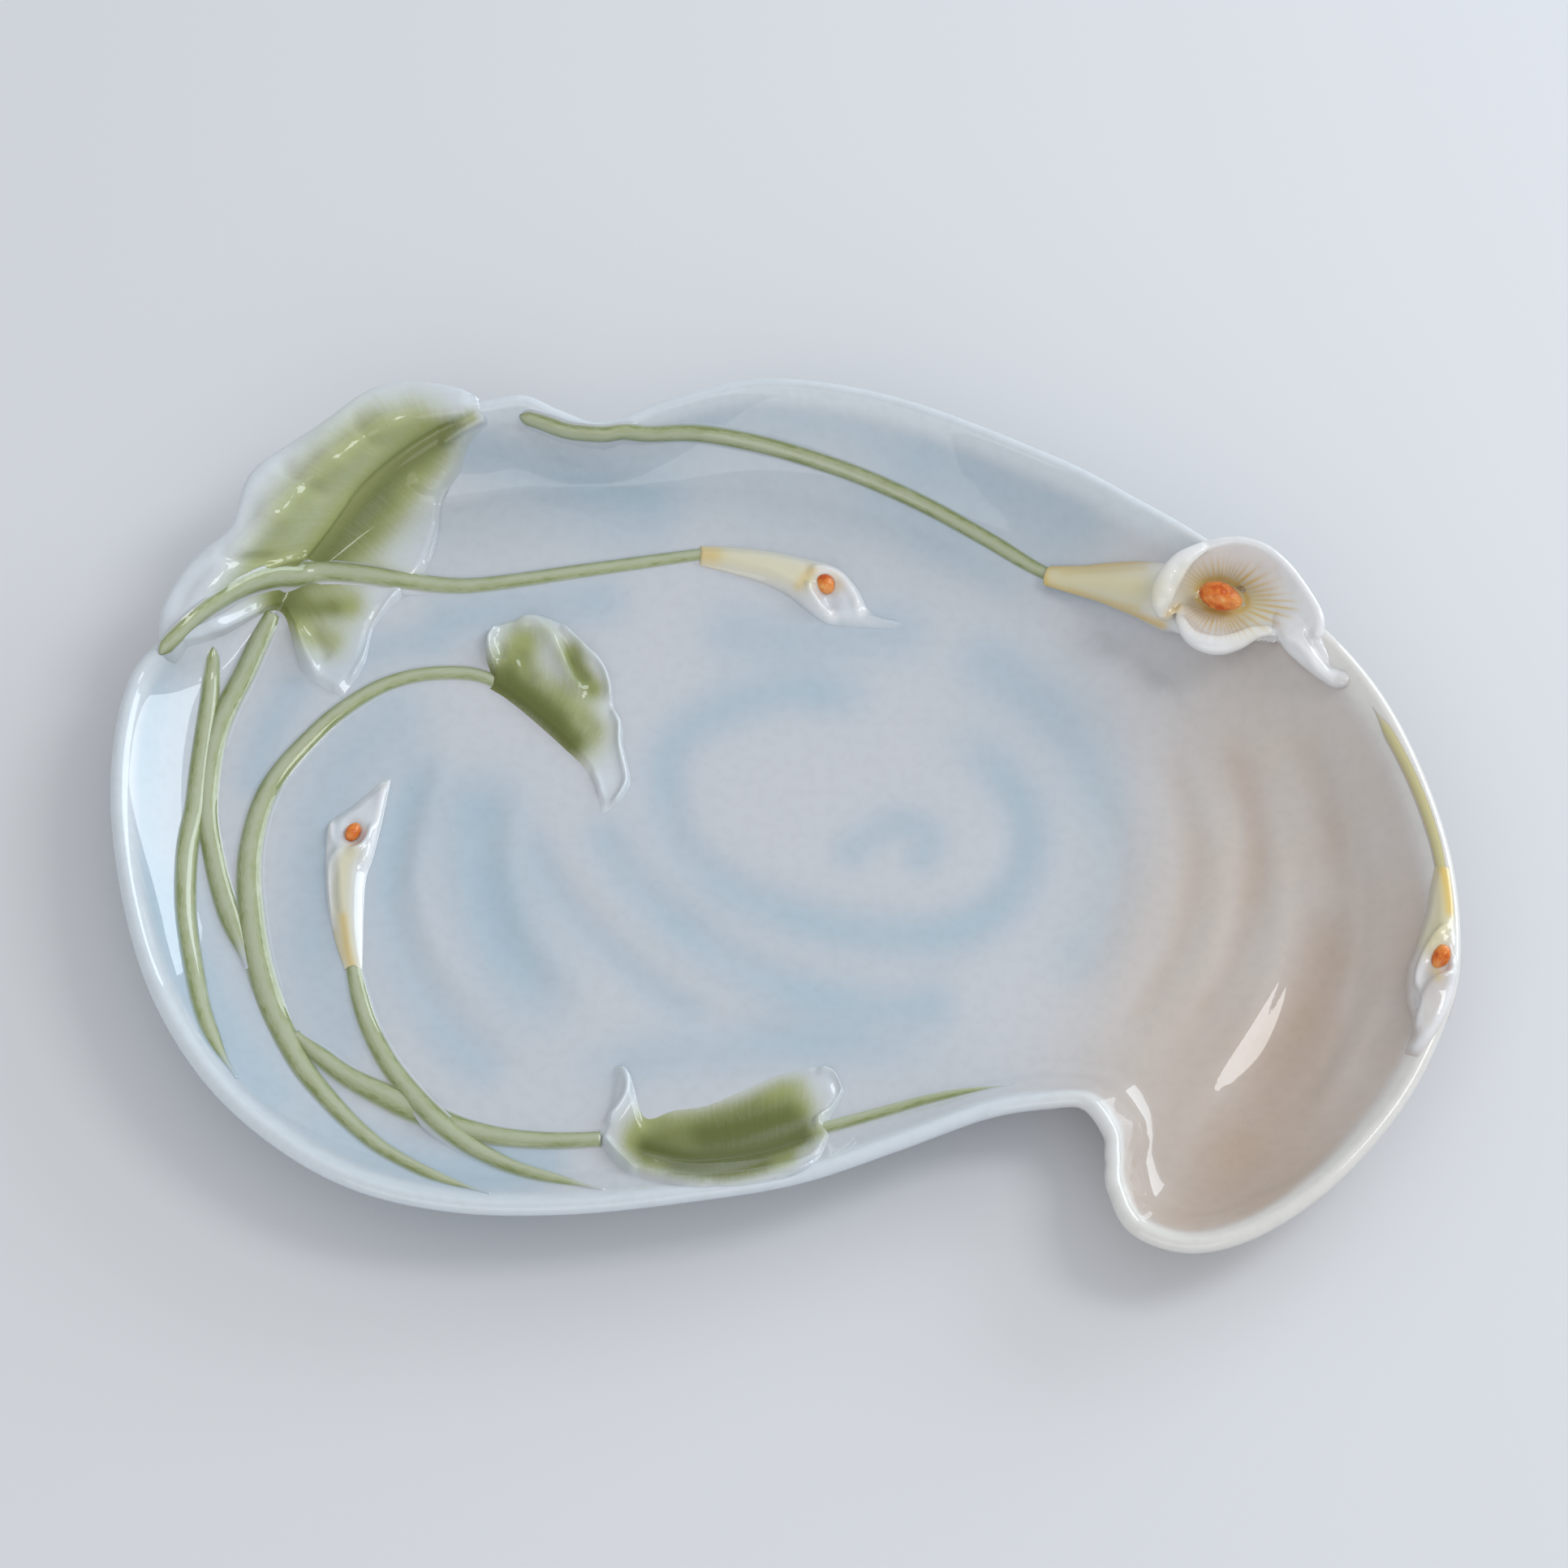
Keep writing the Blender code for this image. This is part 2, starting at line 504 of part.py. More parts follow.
class Workshop:
    """Makes the pieces, keeps them in their collection and the cutters in another."""

    def __init__(self):
        self.basin = Basin()
        self.parts = self.collection("calla_dish")
        self.cutters = self.collection("cutters")
        self.bed = self.bed_cutter()
        self.bed_tree = BVHTree.FromBMesh(raised_surface(self.basin, SEAT_GAP))

    def collection(self, name):
        """A new collection in the scene, and none left from an earlier run."""
        old = bpy.data.collections.get(name)
        if old is not None:
            bpy.data.collections.remove(old)
        made = bpy.data.collections.new(name)
        bpy.context.scene.collection.children.link(made)
        return made

    def piece(self, name, shape, colour, roughness=GLAZE_ROUGHNESS):
        """A sub-part from a bmesh, with its own material."""
        thing = self.thing(name, shape, self.parts)
        thing.data.materials.append(glaze(name, colour, roughness))
        return thing

    def cutter(self, name, shape):
        """A cutter from a bmesh, out of sight of the render."""
        thing = self.thing(name, shape, self.cutters)
        thing.hide_render = True
        thing.display_type = "WIRE"
        return thing

    def thing(self, name, shape, collection):
        """An object from a bmesh, which is used up."""
        face_out(shape)
        mesh = bpy.data.meshes.new(name)
        shape.to_mesh(mesh)
        shape.free()
        mesh.shade_smooth()
        mesh.set_sharp_from_angle(angle=math.radians(40))
        thing = bpy.data.objects.new(name, mesh)
        collection.objects.link(thing)
        return thing

    def bed_cutter(self):
        """A solid block whose top is the basin's inside, raised by the gap that pieces keep."""
        shape = raised_surface(self.basin, SEAT_GAP)
        border = [edge for edge in shape.edges if edge.is_boundary]
        made = bmesh.ops.extrude_edge_only(shape, edges=border)["geom"]
        for vert in [item for item in made if isinstance(item, bmesh.types.BMVert)]:
            vert.co.z = -BED_DEPTH
        border = [edge for edge in shape.edges if edge.is_boundary]
        bmesh.ops.contextual_create(shape, geom=border)
        return self.cutter("bed", shape)

    def clearance(self, piece):
        """A cutter a little larger all round than a piece was before its own cuts."""
        name = f"round_{piece.name}"
        if name in self.cutters.objects:
            return self.cutters.objects[name]
        shape = bmesh.new()
        shape.from_mesh(piece.data)
        shape.normal_update()
        for vert in shape.verts:
            mitre = min(vert.calc_shell_factor(), MOST_MITRE_SHARE)
            vert.co += vert.normal * SEAT_GAP * mitre
        return self.cutter(name, shape)

    def cut(self, piece, *cutters):
        """Takes the cutters out of a piece."""
        for cutter in cutters:
            step = piece.modifiers.new(cutter.name, "BOOLEAN")
            step.operation = "DIFFERENCE"
            step.solver = "EXACT"
            step.object = cutter


def glaze(name, colour, roughness):
    """The material of one sub-part."""
    material = bpy.data.materials.new(name)
    material.use_nodes = True
    shader = material.node_tree.nodes["Principled BSDF"]
    shader.inputs["Base Color"].default_value = (*colour, 1.0)
    shader.inputs["Roughness"].default_value = roughness
    shader.inputs["Metallic"].default_value = 0.0
    return material


def tree_of(thing):
    """The surface of an object's own mesh, for laying pieces on it."""
    shape = bmesh.new()
    shape.from_mesh(thing.data)
    tree = BVHTree.FromBMesh(shape)
    shape.free()
    return tree


def tube(points, radii):
    """A round bar along the points, in bmesh form, made from a curve with filled caps."""
    curve = bpy.data.curves.new("bar", "CURVE")
    curve.dimensions = "3D"
    curve.bevel_depth = max(radii)
    curve.bevel_resolution = 2
    curve.use_fill_caps = True
    line = curve.splines.new("POLY")
    line.points.add(len(points) - 1)
    for knot, point, radius in zip(line.points, points, radii):
        knot.co = (*point, 1)
        knot.radius = radius / max(radii)
    return shape_of(curve)


def shape_of(curve):
    """The closed body that a curve makes, its caps welded, in bmesh form."""
    guide = bpy.data.objects.new(curve.name, curve)
    bpy.context.scene.collection.objects.link(guide)
    bpy.context.view_layer.update()
    seen = guide.evaluated_get(bpy.context.evaluated_depsgraph_get())
    mesh = bpy.data.meshes.new_from_object(seen)
    shape = bmesh.new()
    shape.from_mesh(mesh)
    bmesh.ops.remove_doubles(shape, verts=shape.verts, dist=MERGE_DISTANCE)
    bpy.data.objects.remove(guide)
    bpy.data.meshes.remove(mesh)
    return shape


def route_on(ground, plan, rises, reach):
    """Points above the ground along a plan route, each by its own rise, with kinks eased.

    A point and its neighbours clear whatever was laid within reach of them.
    """
    points = []
    for place, rise in zip(plan, rises):
        spot, facing = ground.under(place)
        points.append(spot + facing * rise)
    points = np.array(points)
    climbs = np.array([ground.laid_height(place, reach) for place in plan])
    beside = np.pad(climbs, 1, mode="edge")
    points[:, 2] += np.maximum.reduce([beside[:-2], climbs, beside[2:]])
    eased = points.copy()
    eased[1:-1] = (points[:-2] + 2 * points[1:-1] + points[2:]) / 4
    return eased


def stalk(name, ground):
    """The round bar of one stalk, laid along its route."""
    rows = np.array([plan_place(*row) for row in STALK_ROUTE_SHARES[name]])
    length = np.linalg.norm(np.diff(rows, axis=0), axis=1).sum()
    step = RIDING_STEP if name in RIDES_OVER else STALK_STEP
    steps = max(round(length / step), LEAST_STALK_STEPS)
    plan = evenly(rows, steps + 1)
    rises = [STALK_RADIUS * STALK_RISE_SHARE] * len(plan)
    points = route_on(ground, plan, rises, STALK_RADIUS)
    radii = [STALK_RADIUS] * len(plan)
    radii[0] = radii[-1] = STALK_RADIUS * STALK_END_SHARE
    return tube(points, radii)


def bud(name, ground):
    """The swelling body of one bud, laid along its route."""
    rows = evenly(BUD_ROUTE_SHARES[name], BUD_STEPS)
    plan = [plan_place(row[0], row[1]) for row in rows]
    radii = [row[2] * BUD_RADIUS for row in rows]
    rises = [radius * BUD_RISE_SHARE for radius in radii]
    points = route_on(ground, plan, rises, BUD_RADIUS)
    return tube(points, radii)


def egg(middle, tip, length, width):
    """A spadix: an ellipsoid that points from its middle towards its tip."""
    shape = bmesh.new()
    bmesh.ops.create_uvsphere(
        shape, u_segments=SPADIX_SIDES, v_segments=SPADIX_BANDS, radius=1 / 2
    )
    heading = Vector(tip) - Vector(middle)
    bmesh.ops.scale(shape, vec=(width, width, length), verts=shape.verts)
    turn = heading.to_track_quat("Z", "Y").to_matrix()
    bmesh.ops.rotate(shape, matrix=turn, verts=shape.verts)
    bmesh.ops.translate(shape, vec=middle, verts=shape.verts)
    return shape


def bud_spadix(name, ground):
    """The spadix that shows in a bud's mouth, half sunk in it."""
    middle, tip = [ground.under(plan_place(*row)) for row in BUD_SPADIX_SHARES[name]]
    lift = BUD_RADIUS * (1 + BUD_RISE_SHARE) - BUD_SPADIX_SINK
    ends = [spot + facing * lift for spot, facing in (middle, tip)]
    return egg(*ends, BUD_SPADIX_LENGTH, BUD_SPADIX_WIDTH)


def leaf(name, ground):
    """A leaf as a slab that lies in the ground to its rib and stands up at its margins."""
    rows = evenly(LEAF_ROW_SHARES[name], LEAF_STEPS)
    across = np.linspace(-1, 1, 2 * LEAF_HALF_STEPS + 1)
    top, bottom = [], []
    for row in rows:
        left, rib, right = [plan_place(*row[i : i + 2]) for i in (0, 2, 4)]
        for share in across:
            side = left if share < 0 else right
            place = rib + abs(share) * (side - rib)
            spot, facing = ground.under(place)
            top.append(spot + facing * (LEAF_THICKNESS + MARGIN_LIFT * share**2))
            bottom.append(spot - facing * LEAF_SINK)
    return slab(top, bottom, len(rows), len(across))


def slab(top, bottom, row_count, across_count):
    """A closed sheet between two grids of points that share their layout."""
    shape = bmesh.new()
    grids = [[shape.verts.new(point) for point in points] for points in (top, bottom)]
    for grid in grids:
        for i in range(row_count - 1):
            for j in range(across_count - 1):
                corner = i * across_count + j
                below = corner + across_count
                shape.faces.new([grid[k] for k in (corner, corner + 1, below + 1, below)])
    ahead = list(range(across_count))
    right = [across_count * (i + 1) - 1 for i in range(1, row_count)]
    back = [across_count * row_count - 1 - j for j in range(1, across_count)]
    left = [across_count * (row_count - 1 - i) for i in range(1, row_count - 1)]
    edge = ahead + right + back + left
    for here, there in zip(edge, edge[1:] + edge[:1]):
        shape.faces.new((grids[0][here], grids[0][there], grids[1][there], grids[1][here]))
    bmesh.ops.triangulate(shape, faces=shape.faces)
    return shape


def circle(middle, heading, radius, turns):
    """Points round a circle square to its heading, starting at its top."""
    heading = heading / np.linalg.norm(heading)
    side = np.cross((0, 0, 1), heading)
    side = side / np.linalg.norm(side)
    up = np.cross(heading, side)
    angle = 2 * math.pi * np.asarray(turns)[:, None]
    return middle + radius * (np.cos(angle) * up + np.sin(angle) * side)


def flower_rings(ground):
    """The open flower's rings: outside from stem to mouth, then inside down to its throat."""
    mouth = np.array([[*plan_place(x, y), z * FLOWER_HEIGHT] for x, y, z in FLOWER_MOUTH_SHARES])
    turns = np.interp(range(len(mouth)), MOUTH_STATIONS, MOUTH_TURN_SHARES)
    radii = [row[2] * FLOWER_NECK_RADIUS for row in FLOWER_TUBE_SHARES]
    middles = []
    for row, radius in zip(FLOWER_TUBE_SHARES, radii):
        spot, facing = ground.under(plan_place(row[0], row[1]))
        middles.append(spot + facing * radius * STALK_RISE_SHARE)
    headings = np.gradient(np.array(middles), axis=0)
    outside = [circle(*ring, turns) for ring in zip(middles, headings, radii)]
    neck = outside[-1]
    outside += [neck + share * (mouth - neck) for share in FLOWER_FLARE_SHARES]
    outside.append(mouth)
    hollow = []
    for ring, narrowing in zip(outside[:-4:-1], FLOWER_NARROWING_SHARES):
        centre = ring.mean(axis=0)
        hollow.append(ring + narrowing * (centre - ring) + (0, 0, FLOWER_WALL / 2))
    return [*outside, *hollow]


def open_flower(ground):
    """The open flower: a tube that flares to its mouth, hollow down to its throat."""
    shape = loft_rings(flower_rings(ground))
    caps = [edge for edge in shape.edges if edge.is_boundary]
    bmesh.ops.edgeloop_fill(shape, edges=caps)
    return shape


def flower_spadix(ground):
    """The spadix that stands on the floor of the open flower's throat."""
    floor = flower_rings(ground)[-1].mean(axis=0)[2]
    ends = [
        (*plan_place(x, y), floor + z * FLOWER_SPADIX_WIDTH)
        for x, y, z in (FLOWER_SPADIX_SHARES, FLOWER_SPADIX_TIP_SHARES)
    ]
    return egg(*ends, FLOWER_SPADIX_LENGTH, FLOWER_SPADIX_WIDTH)


def foot_ring():
    """The ring that the dish stands on: an outline and a smaller one, extruded."""
    places = np.linspace(0, len(FOOT_RING_SHARES), FOOT_RING_STEPS + 1)[:-1]
    outside = smooth_rows(FOOT_RING_SHARES, places, closed=True) * (DISH_LENGTH, DISH_WIDTH)
    curve = bpy.data.curves.new("ring", "CURVE")
    curve.dimensions = "2D"
    curve.fill_mode = "BOTH"
    curve.extrude = (FLOOR_HEIGHT - WALL_THICKNESS) / 2
    for distance in (0, FOOT_RING_WIDTH):
        outline = moved_inwards(outside, distance)
        line = curve.splines.new("POLY")
        line.points.add(len(outline) - 1)
        line.use_cyclic_u = True
        for knot, point in zip(line.points, outline):
            knot.co = (*point, 0, 1)
    shape = shape_of(curve)
    bmesh.ops.translate(shape, vec=(0, 0, curve.extrude), verts=shape.verts)
    return shape


def shell_solid(thing, thickness):
    """Gives the basin's inside surface its wall and its rounded lip."""
    wall = thing.modifiers.new("wall", "SOLIDIFY")
    wall.thickness = thickness
    wall.offset = -1
    rounding = thing.modifiers.new("lip", "BEVEL")
    rounding.width = LIP_ROUNDING
    rounding.segments = 2
    rounding.limit_method = "ANGLE"
    rounding.angle_limit = math.radians(60)


def basin_inside(basin):
    """The open surface that the shell is made from."""
    shape = loft_rings(basin.rings())
    bmesh.ops.remove_doubles(shape, verts=shape.verts, dist=MERGE_DISTANCE)
    return shape


def make_basin(shop):
    """The cast shell and the foot ring under it."""
    shell = shop.piece("dish_shell", basin_inside(shop.basin), GLAZE_BLUE)
    shell_solid(shell, WALL_THICKNESS)
    ring = shop.piece("foot_ring", foot_ring(), BARE_PORCELAIN, BARE_ROUGHNESS)
    under = shop.cutter("under_shell", basin_inside(shop.basin))
    shell_solid(under, WALL_THICKNESS + SEAT_GAP)
    shop.cut(ring, under)


def make_relief(shop):
    """Everything laid on the basin, each piece before what rides over it."""
    ground = Ground(shop.bed_tree)
    pieces = {}
    for name in LEAF_ROW_SHARES:
        pieces[name] = shop.piece(name, leaf(name, ground), GLAZE_GREEN)
    for name in STALK_ROUTE_SHARES:
        lies_on = ground
        if name in RIDES_OVER:
            crossed = shop.clearance(pieces[RIDES_OVER[name]])
            lies_on = Ground(shop.bed_tree, tree_of(crossed))
        pieces[name] = shop.piece(name, stalk(name, lies_on), GLAZE_GREEN)
    for name in BUD_ROUTE_SHARES:
        pieces[f"{name}_spathe"] = shop.piece(f"{name}_spathe", bud(name, ground), GLAZE_CREAM)
        spadix = shop.piece(f"{name}_spadix", bud_spadix(name, ground), GLAZE_ORANGE)
        pieces[f"{name}_spadix"] = spadix
    name = "rim_flower_spathe"
    pieces[name] = shop.piece(name, open_flower(ground), GLAZE_CREAM)
    name = "rim_flower_spadix"
    pieces[name] = shop.piece(name, flower_spadix(ground), GLAZE_ORANGE)
    return pieces


def main():
    clear_scene()
    shop = Workshop()
    make_basin(shop)
    pieces = make_relief(shop)
    for name, piece in pieces.items():
        neighbours = [shop.clearance(pieces[other]) for other in CLEAR_OF.get(name, ())]
        shop.cut(piece, shop.bed, *neighbours)


main()
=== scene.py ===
"""Looks of a porcelain dish with calla lilies in relief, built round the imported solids.

The basin is one glazed shell whose floor has ripples pressed into it. Leaves, stalks, buds and
the open flower are pieces of clay laid on it, each shaped on the ground that carries it, and
fired under one clear glaze. Outlines are in pixels of the 1932 x 1932 photograph and are brought
onto the basin along its rays. Everything is in metres, in the frame of the solids.
"""

import logging
import math
from dataclasses import dataclass
from enum import Enum
from typing import Callable

import bpy
import numpy as np
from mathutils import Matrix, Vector
from mathutils.bvhtree import BVHTree
from mathutils.kdtree import KDTree


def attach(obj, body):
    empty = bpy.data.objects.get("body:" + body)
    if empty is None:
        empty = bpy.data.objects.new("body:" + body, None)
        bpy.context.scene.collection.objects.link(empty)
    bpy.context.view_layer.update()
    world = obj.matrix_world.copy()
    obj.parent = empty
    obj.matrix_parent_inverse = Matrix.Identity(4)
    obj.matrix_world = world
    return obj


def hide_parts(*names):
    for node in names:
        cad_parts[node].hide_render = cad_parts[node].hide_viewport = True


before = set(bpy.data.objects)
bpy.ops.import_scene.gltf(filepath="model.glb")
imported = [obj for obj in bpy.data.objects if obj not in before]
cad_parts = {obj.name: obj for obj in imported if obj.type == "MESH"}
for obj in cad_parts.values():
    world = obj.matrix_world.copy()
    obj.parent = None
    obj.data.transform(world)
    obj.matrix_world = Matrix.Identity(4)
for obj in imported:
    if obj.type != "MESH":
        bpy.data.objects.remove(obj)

LOG = logging.getLogger("dish")
BODY = "root"
WELD = 1e-6

Array = np.ndarray
Rows = tuple[tuple[float, ...], ...]


# ---------------------------------------------------------------- curves and fields


def smooth_rows(rows: Rows | Array, positions: Array, closed: bool = False) -> Array:
    """Reads a table between its rows, on a smooth curve through each of them.

    Args:
        rows: the table, one row to a place.
        positions: where to read it, in rows.
        closed: whether the last row is followed by the first.

    Returns:
        One row for each position.
    """
    table = np.asarray(rows, float)
    count = len(table)
    whole = np.floor(positions).astype(int)
    if not closed:
        whole = np.clip(whole, 0, count - 2)
    part = (np.asarray(positions, float) - whole)[:, None]
    near = [whole + step for step in (-1, 0, 1, 2)]
    near = [n % count if closed else np.clip(n, 0, count - 1) for n in near]
    a, b, c, d = (table[n] for n in near)
    return 0.5 * (
        2 * b + (c - a) * part + (2 * a - 5 * b + 4 * c - d) * part**2 + (3 * b - a - 3 * c + d) * part**3
    )


def pairs(numbers: tuple[float, ...]) -> Array:
    """Numbers taken two by two, as rows."""
    return np.reshape(numbers, (-1, 2)).astype(float)


def evenly(rows: Rows | Array, count: int) -> Array:
    """A table of rows read at this many evenly spaced places."""
    return smooth_rows(rows, np.linspace(0, len(rows) - 1, count))


def by_length(line: Array, count: int) -> Array:
    """A line of points divided anew into this many points, evenly along its length."""
    run = np.concatenate([[0.0], np.cumsum(np.linalg.norm(np.diff(line, axis=0), axis=1))])
    places = np.linspace(0, run[-1], count)
    return np.stack([np.interp(places, run, column) for column in line.T], axis=1)


def soft_step(value: Array | float, low: float, high: float) -> Array:
    """0 below low, 1 above high and a smooth rise between them."""
    part = np.clip((np.asarray(value, float) - low) / (high - low), 0.0, 1.0)
    return part * part * (3 - 2 * part)


def unit(vectors: Array) -> Array:
    """Vectors at length 1."""
    return vectors / np.maximum(np.linalg.norm(vectors, axis=-1, keepdims=True), 1e-12)


def upward(vectors: Array) -> Array:
    """Vectors turned round where they point down."""
    return vectors * np.sign(vectors[..., 2:3])


def ring_ahead(ring: Array) -> Array:
    """The direction along a closed ring at each of its points."""
    return unit(np.roll(ring, -1, axis=0) - np.roll(ring, 1, axis=0))


def eased(line: Array, rounds: int) -> Array:
    """An open line with its kinks eased and its ends kept."""
    out = line.copy()
    for _ in range(rounds):
        out[1:-1] = (out[:-2] + 2 * out[1:-1] + out[2:]) / 4
    return out


@dataclass(frozen=True)
class Stroke:
    """One pass of a tool or brush, as it is seen in the photograph.

    Attributes:
        path: points along it, in pixels, across and down in turn.
        width: how far from the path it has faded to about a third, in pixels.
        strength: its height in metres, or its share of colour.
        fade: the share of its length over which each end fades.
        least_fade, most_fade: the bounds of that, in widths and as a share of the length.
        overshoot: how far beyond its ends they have faded out, as a share of the length.
        long: from how many widths on a brush is lifted slowly at the ends.
        reach: how many widths from its path it is looked for.
        divisions: the points that its path is divided into.
        batch: how many places are looked at together.
    """

    path: tuple[float, ...]
    width: float
    strength: float = 1.0
    fade: float = 0.25
    least_fade: float = 1.8
    most_fade: float = 0.45
    overshoot: float = 0.01
    long: float = 6.0
    reach: float = 3.0
    divisions: int = 120
    batch: int = 20000

    @property
    def slimness(self) -> float:
        """How many times as long as its width it is."""
        return float(np.linalg.norm(np.diff(pairs(self.path), axis=0), axis=1).sum()) / self.width

    def touch(self, seen: Array, tapered: bool = True) -> Array:
        """How strongly the stroke touches each place.

        Args:
            seen: places, in pixels.
            tapered: whether its ends fade along it. Otherwise they are round and soft.

        Returns:
            Strength at each place.
        """
        out = np.zeros(len(seen))
        line = by_length(evenly(pairs(self.path), self.divisions // 2), self.divisions)
        margin = self.reach * self.width
        near = (seen > line.min(axis=0) - margin) & (seen < line.max(axis=0) + margin)
        inside = np.flatnonzero(np.all(near, axis=1))
        fade = min(max(self.fade, self.least_fade / self.slimness), self.most_fade)
        for part in np.array_split(inside, len(inside) // self.batch + 1):
            if len(part) == 0:
                continue
            spots = seen[part]
            squared = (spots[:, 0:1] - line[:, 0]) ** 2 + (spots[:, 1:2] - line[:, 1]) ** 2
            share = squared.argmin(axis=1) / (len(line) - 1)
            ends = soft_step(np.minimum(share, 1 - share), -self.overshoot, fade) if tapered and self.fade > 0 else 1.0
            out[part] = self.strength * ends * np.exp(-squared.min(axis=1) / self.width**2)
        return out


def total(strokes: tuple[Stroke, ...], seen: Array) -> Array:
    """The heights of strokes added up."""
    return np.sum([np.zeros(len(seen))] + [stroke.touch(seen) for stroke in strokes], axis=0)


def covered(strokes: tuple[Stroke, ...], seen: Array, lifted: bool = False) -> Array:
    """How much of each place strokes of colour cover together.

    Args:
        strokes: the strokes.
        seen: places, in pixels.
        lifted: whether the brush is lifted slowly at the ends of a long stroke.

    Returns:
        The share covered at each place.
    """
    clear = [1 - stroke.touch(seen, lifted and stroke.slimness > stroke.long) for stroke in strokes]
    return 1 - np.prod([np.ones(len(seen))] + clear, axis=0)


# ---------------------------------------------------------------- the viewpoint


@dataclass(frozen=True)
class Sight:
    """The photograph's viewpoint, solved from the outline of the dish."""

    side: int = 1932
    elevation: float = math.radians(56)
    distance: float = 1.060
    focal: float = 6752.2
    target: tuple[float, float, float] = (0.00115, 0.00137, 0.020)

    @property
    def ahead(self) -> Array:
        """The direction of view."""
        return np.array([0.0, math.cos(self.elevation), -math.sin(self.elevation)])

    @property
    def up(self) -> Array:
        """The direction that is upwards in the picture."""
        return np.array([0.0, math.sin(self.elevation), math.cos(self.elevation)])

    @property
    def eye(self) -> Array:
        """Where the camera stands."""
        return np.array(self.target) - self.distance * self.ahead

    def rays(self, pixels: Rows | Array) -> Array:
        """Directions through pixels of the photograph."""
        spots = np.asarray(pixels, float) - self.side / 2
        return self.focal * self.ahead + spots[:, 0:1] * np.array([1.0, 0.0, 0.0]) - spots[:, 1:2] * self.up

    def at_height(self, pixels: Rows | Array, height: Array | float) -> Array:
        """Where the rays through pixels meet a height above the table."""
        rays = self.rays(pixels)
        reach = (height - self.eye[2]) / rays[:, 2]
        return self.eye + reach[:, None] * rays

    def pixels(self, points: Array) -> Array:
        """Where points are seen in the photograph."""
        offset = points - self.eye
        depth = offset @ self.ahead
        return self.side / 2 + self.focal * np.column_stack([offset[:, 0], -(offset @ self.up)]) / depth[:, None]

    def camera(self) -> bpy.types.Object:
        """The scene's camera."""
        data = bpy.data.cameras.new("camera")
        data.sensor_width = 36.0
        data.lens = self.focal / self.side * data.sensor_width
        data.clip_start, data.clip_end = 0.05, 20.0
        seat = bpy.data.objects.new("camera", data)
        bpy.context.scene.collection.objects.link(seat)
        seat.location = Vector(self.eye)
        seat.rotation_euler = Vector(self.ahead).to_track_quat("-Z", "Y").to_euler()
        bpy.context.scene.camera = seat
        return seat


SIGHT = Sight()


# ---------------------------------------------------------------- meshes


def only(thing: bpy.types.Object) -> bpy.types.Object:
    """Selects one object alone and makes it the active one."""
    bpy.ops.object.select_all(action="DESELECT")
    thing.select_set(True)
    bpy.context.view_layer.objects.active = thing
    return thing


def sheet(name: str, across: int, along: int, place: Callable[[Array, Array], Array]) -> bpy.types.Object:
    """A sheet from a grid primitive, each of whose vertices is laid by its two shares.

    Args:
        name: the piece's name.
        across: faces along the first share.
        along: faces along the second share.
        place: turns the first and second shares, 0 to 1, into points.

    Returns:
        The sheet, with its shares kept as its UV map.
    """
    bpy.ops.object.select_all(action="DESELECT")
    bpy.ops.mesh.primitive_grid_add(x_subdivisions=across, y_subdivisions=along, size=1.0)
    thing = bpy.context.object
    thing.name = thing.data.name = name
    mesh = thing.data
    flat = np.empty(len(mesh.vertices) * 3)
    mesh.vertices.foreach_get("co", flat)
    first, second = flat[0::3] + 0.5, flat[1::3] + 0.5
    points = place(first, second)
    mesh.vertices.foreach_set("co", points.astype(np.float32).ravel())
    corners = np.empty(len(mesh.loops), int)
    mesh.loops.foreach_get("vertex_index", corners)
    shares = np.stack([first[corners], second[corners]], axis=1)
    mesh.uv_layers[0].data.foreach_set("uv", shares.astype(np.float32).ravel())
    mesh.update()
    return thing


def keep_shares(thing: bpy.types.Object, **shares: Array) -> None:
    """Writes one number to a vertex under each name, for the paint to read."""
    for name, values in shares.items():
        layer = thing.data.attributes.get(name) or thing.data.attributes.new(name, "FLOAT", "POINT")
        layer.data.foreach_set("value", np.asarray(values, np.float32))


def points_of(thing: bpy.types.Object) -> Array:
    """An object's vertices as rows."""
    flat = np.empty(len(thing.data.vertices) * 3)
    thing.data.vertices.foreach_get("co", flat)
    return flat.reshape(-1, 3)


def weld(thing: bpy.types.Object, closed: bool) -> None:
    """Joins a sheet's seams, and turns the faces of a closed body outwards.

    Args:
        thing: the piece.
        closed: whether it is a closed body. An open sheet is turned to face up.
    """
    only(thing)
    bpy.ops.object.mode_set(mode="EDIT")
    bpy.ops.mesh.select_all(action="SELECT")
    bpy.ops.mesh.remove_doubles(threshold=WELD)
    bpy.ops.mesh.dissolve_degenerate(threshold=WELD / 2)
    bpy.ops.mesh.select_all(action="SELECT")
    if closed:
        bpy.ops.mesh.normals_make_consistent(inside=False)
    bpy.ops.object.mode_set(mode="OBJECT")
    if not closed and sum(face.normal.z * face.area for face in thing.data.polygons) < 0:
        bpy.ops.object.mode_set(mode="EDIT")
        bpy.ops.mesh.select_all(action="SELECT")
        bpy.ops.mesh.flip_normals()
        bpy.ops.object.mode_set(mode="OBJECT")


def sheet_shares(thing: bpy.types.Object) -> tuple[Array, Array]:
    """The first and the second share of each vertex of a sheet, from its UV map."""
    mesh = thing.data
    uv = np.empty(len(mesh.loops) * 2)
    mesh.uv_layers[0].data.foreach_get("uv", uv)
    corners = np.empty(len(mesh.loops), int)
    mesh.loops.foreach_get("vertex_index", corners)
    out = np.empty((len(mesh.vertices), 2))
    out[corners] = uv.reshape(-1, 2)
    return out[:, 0], out[:, 1]


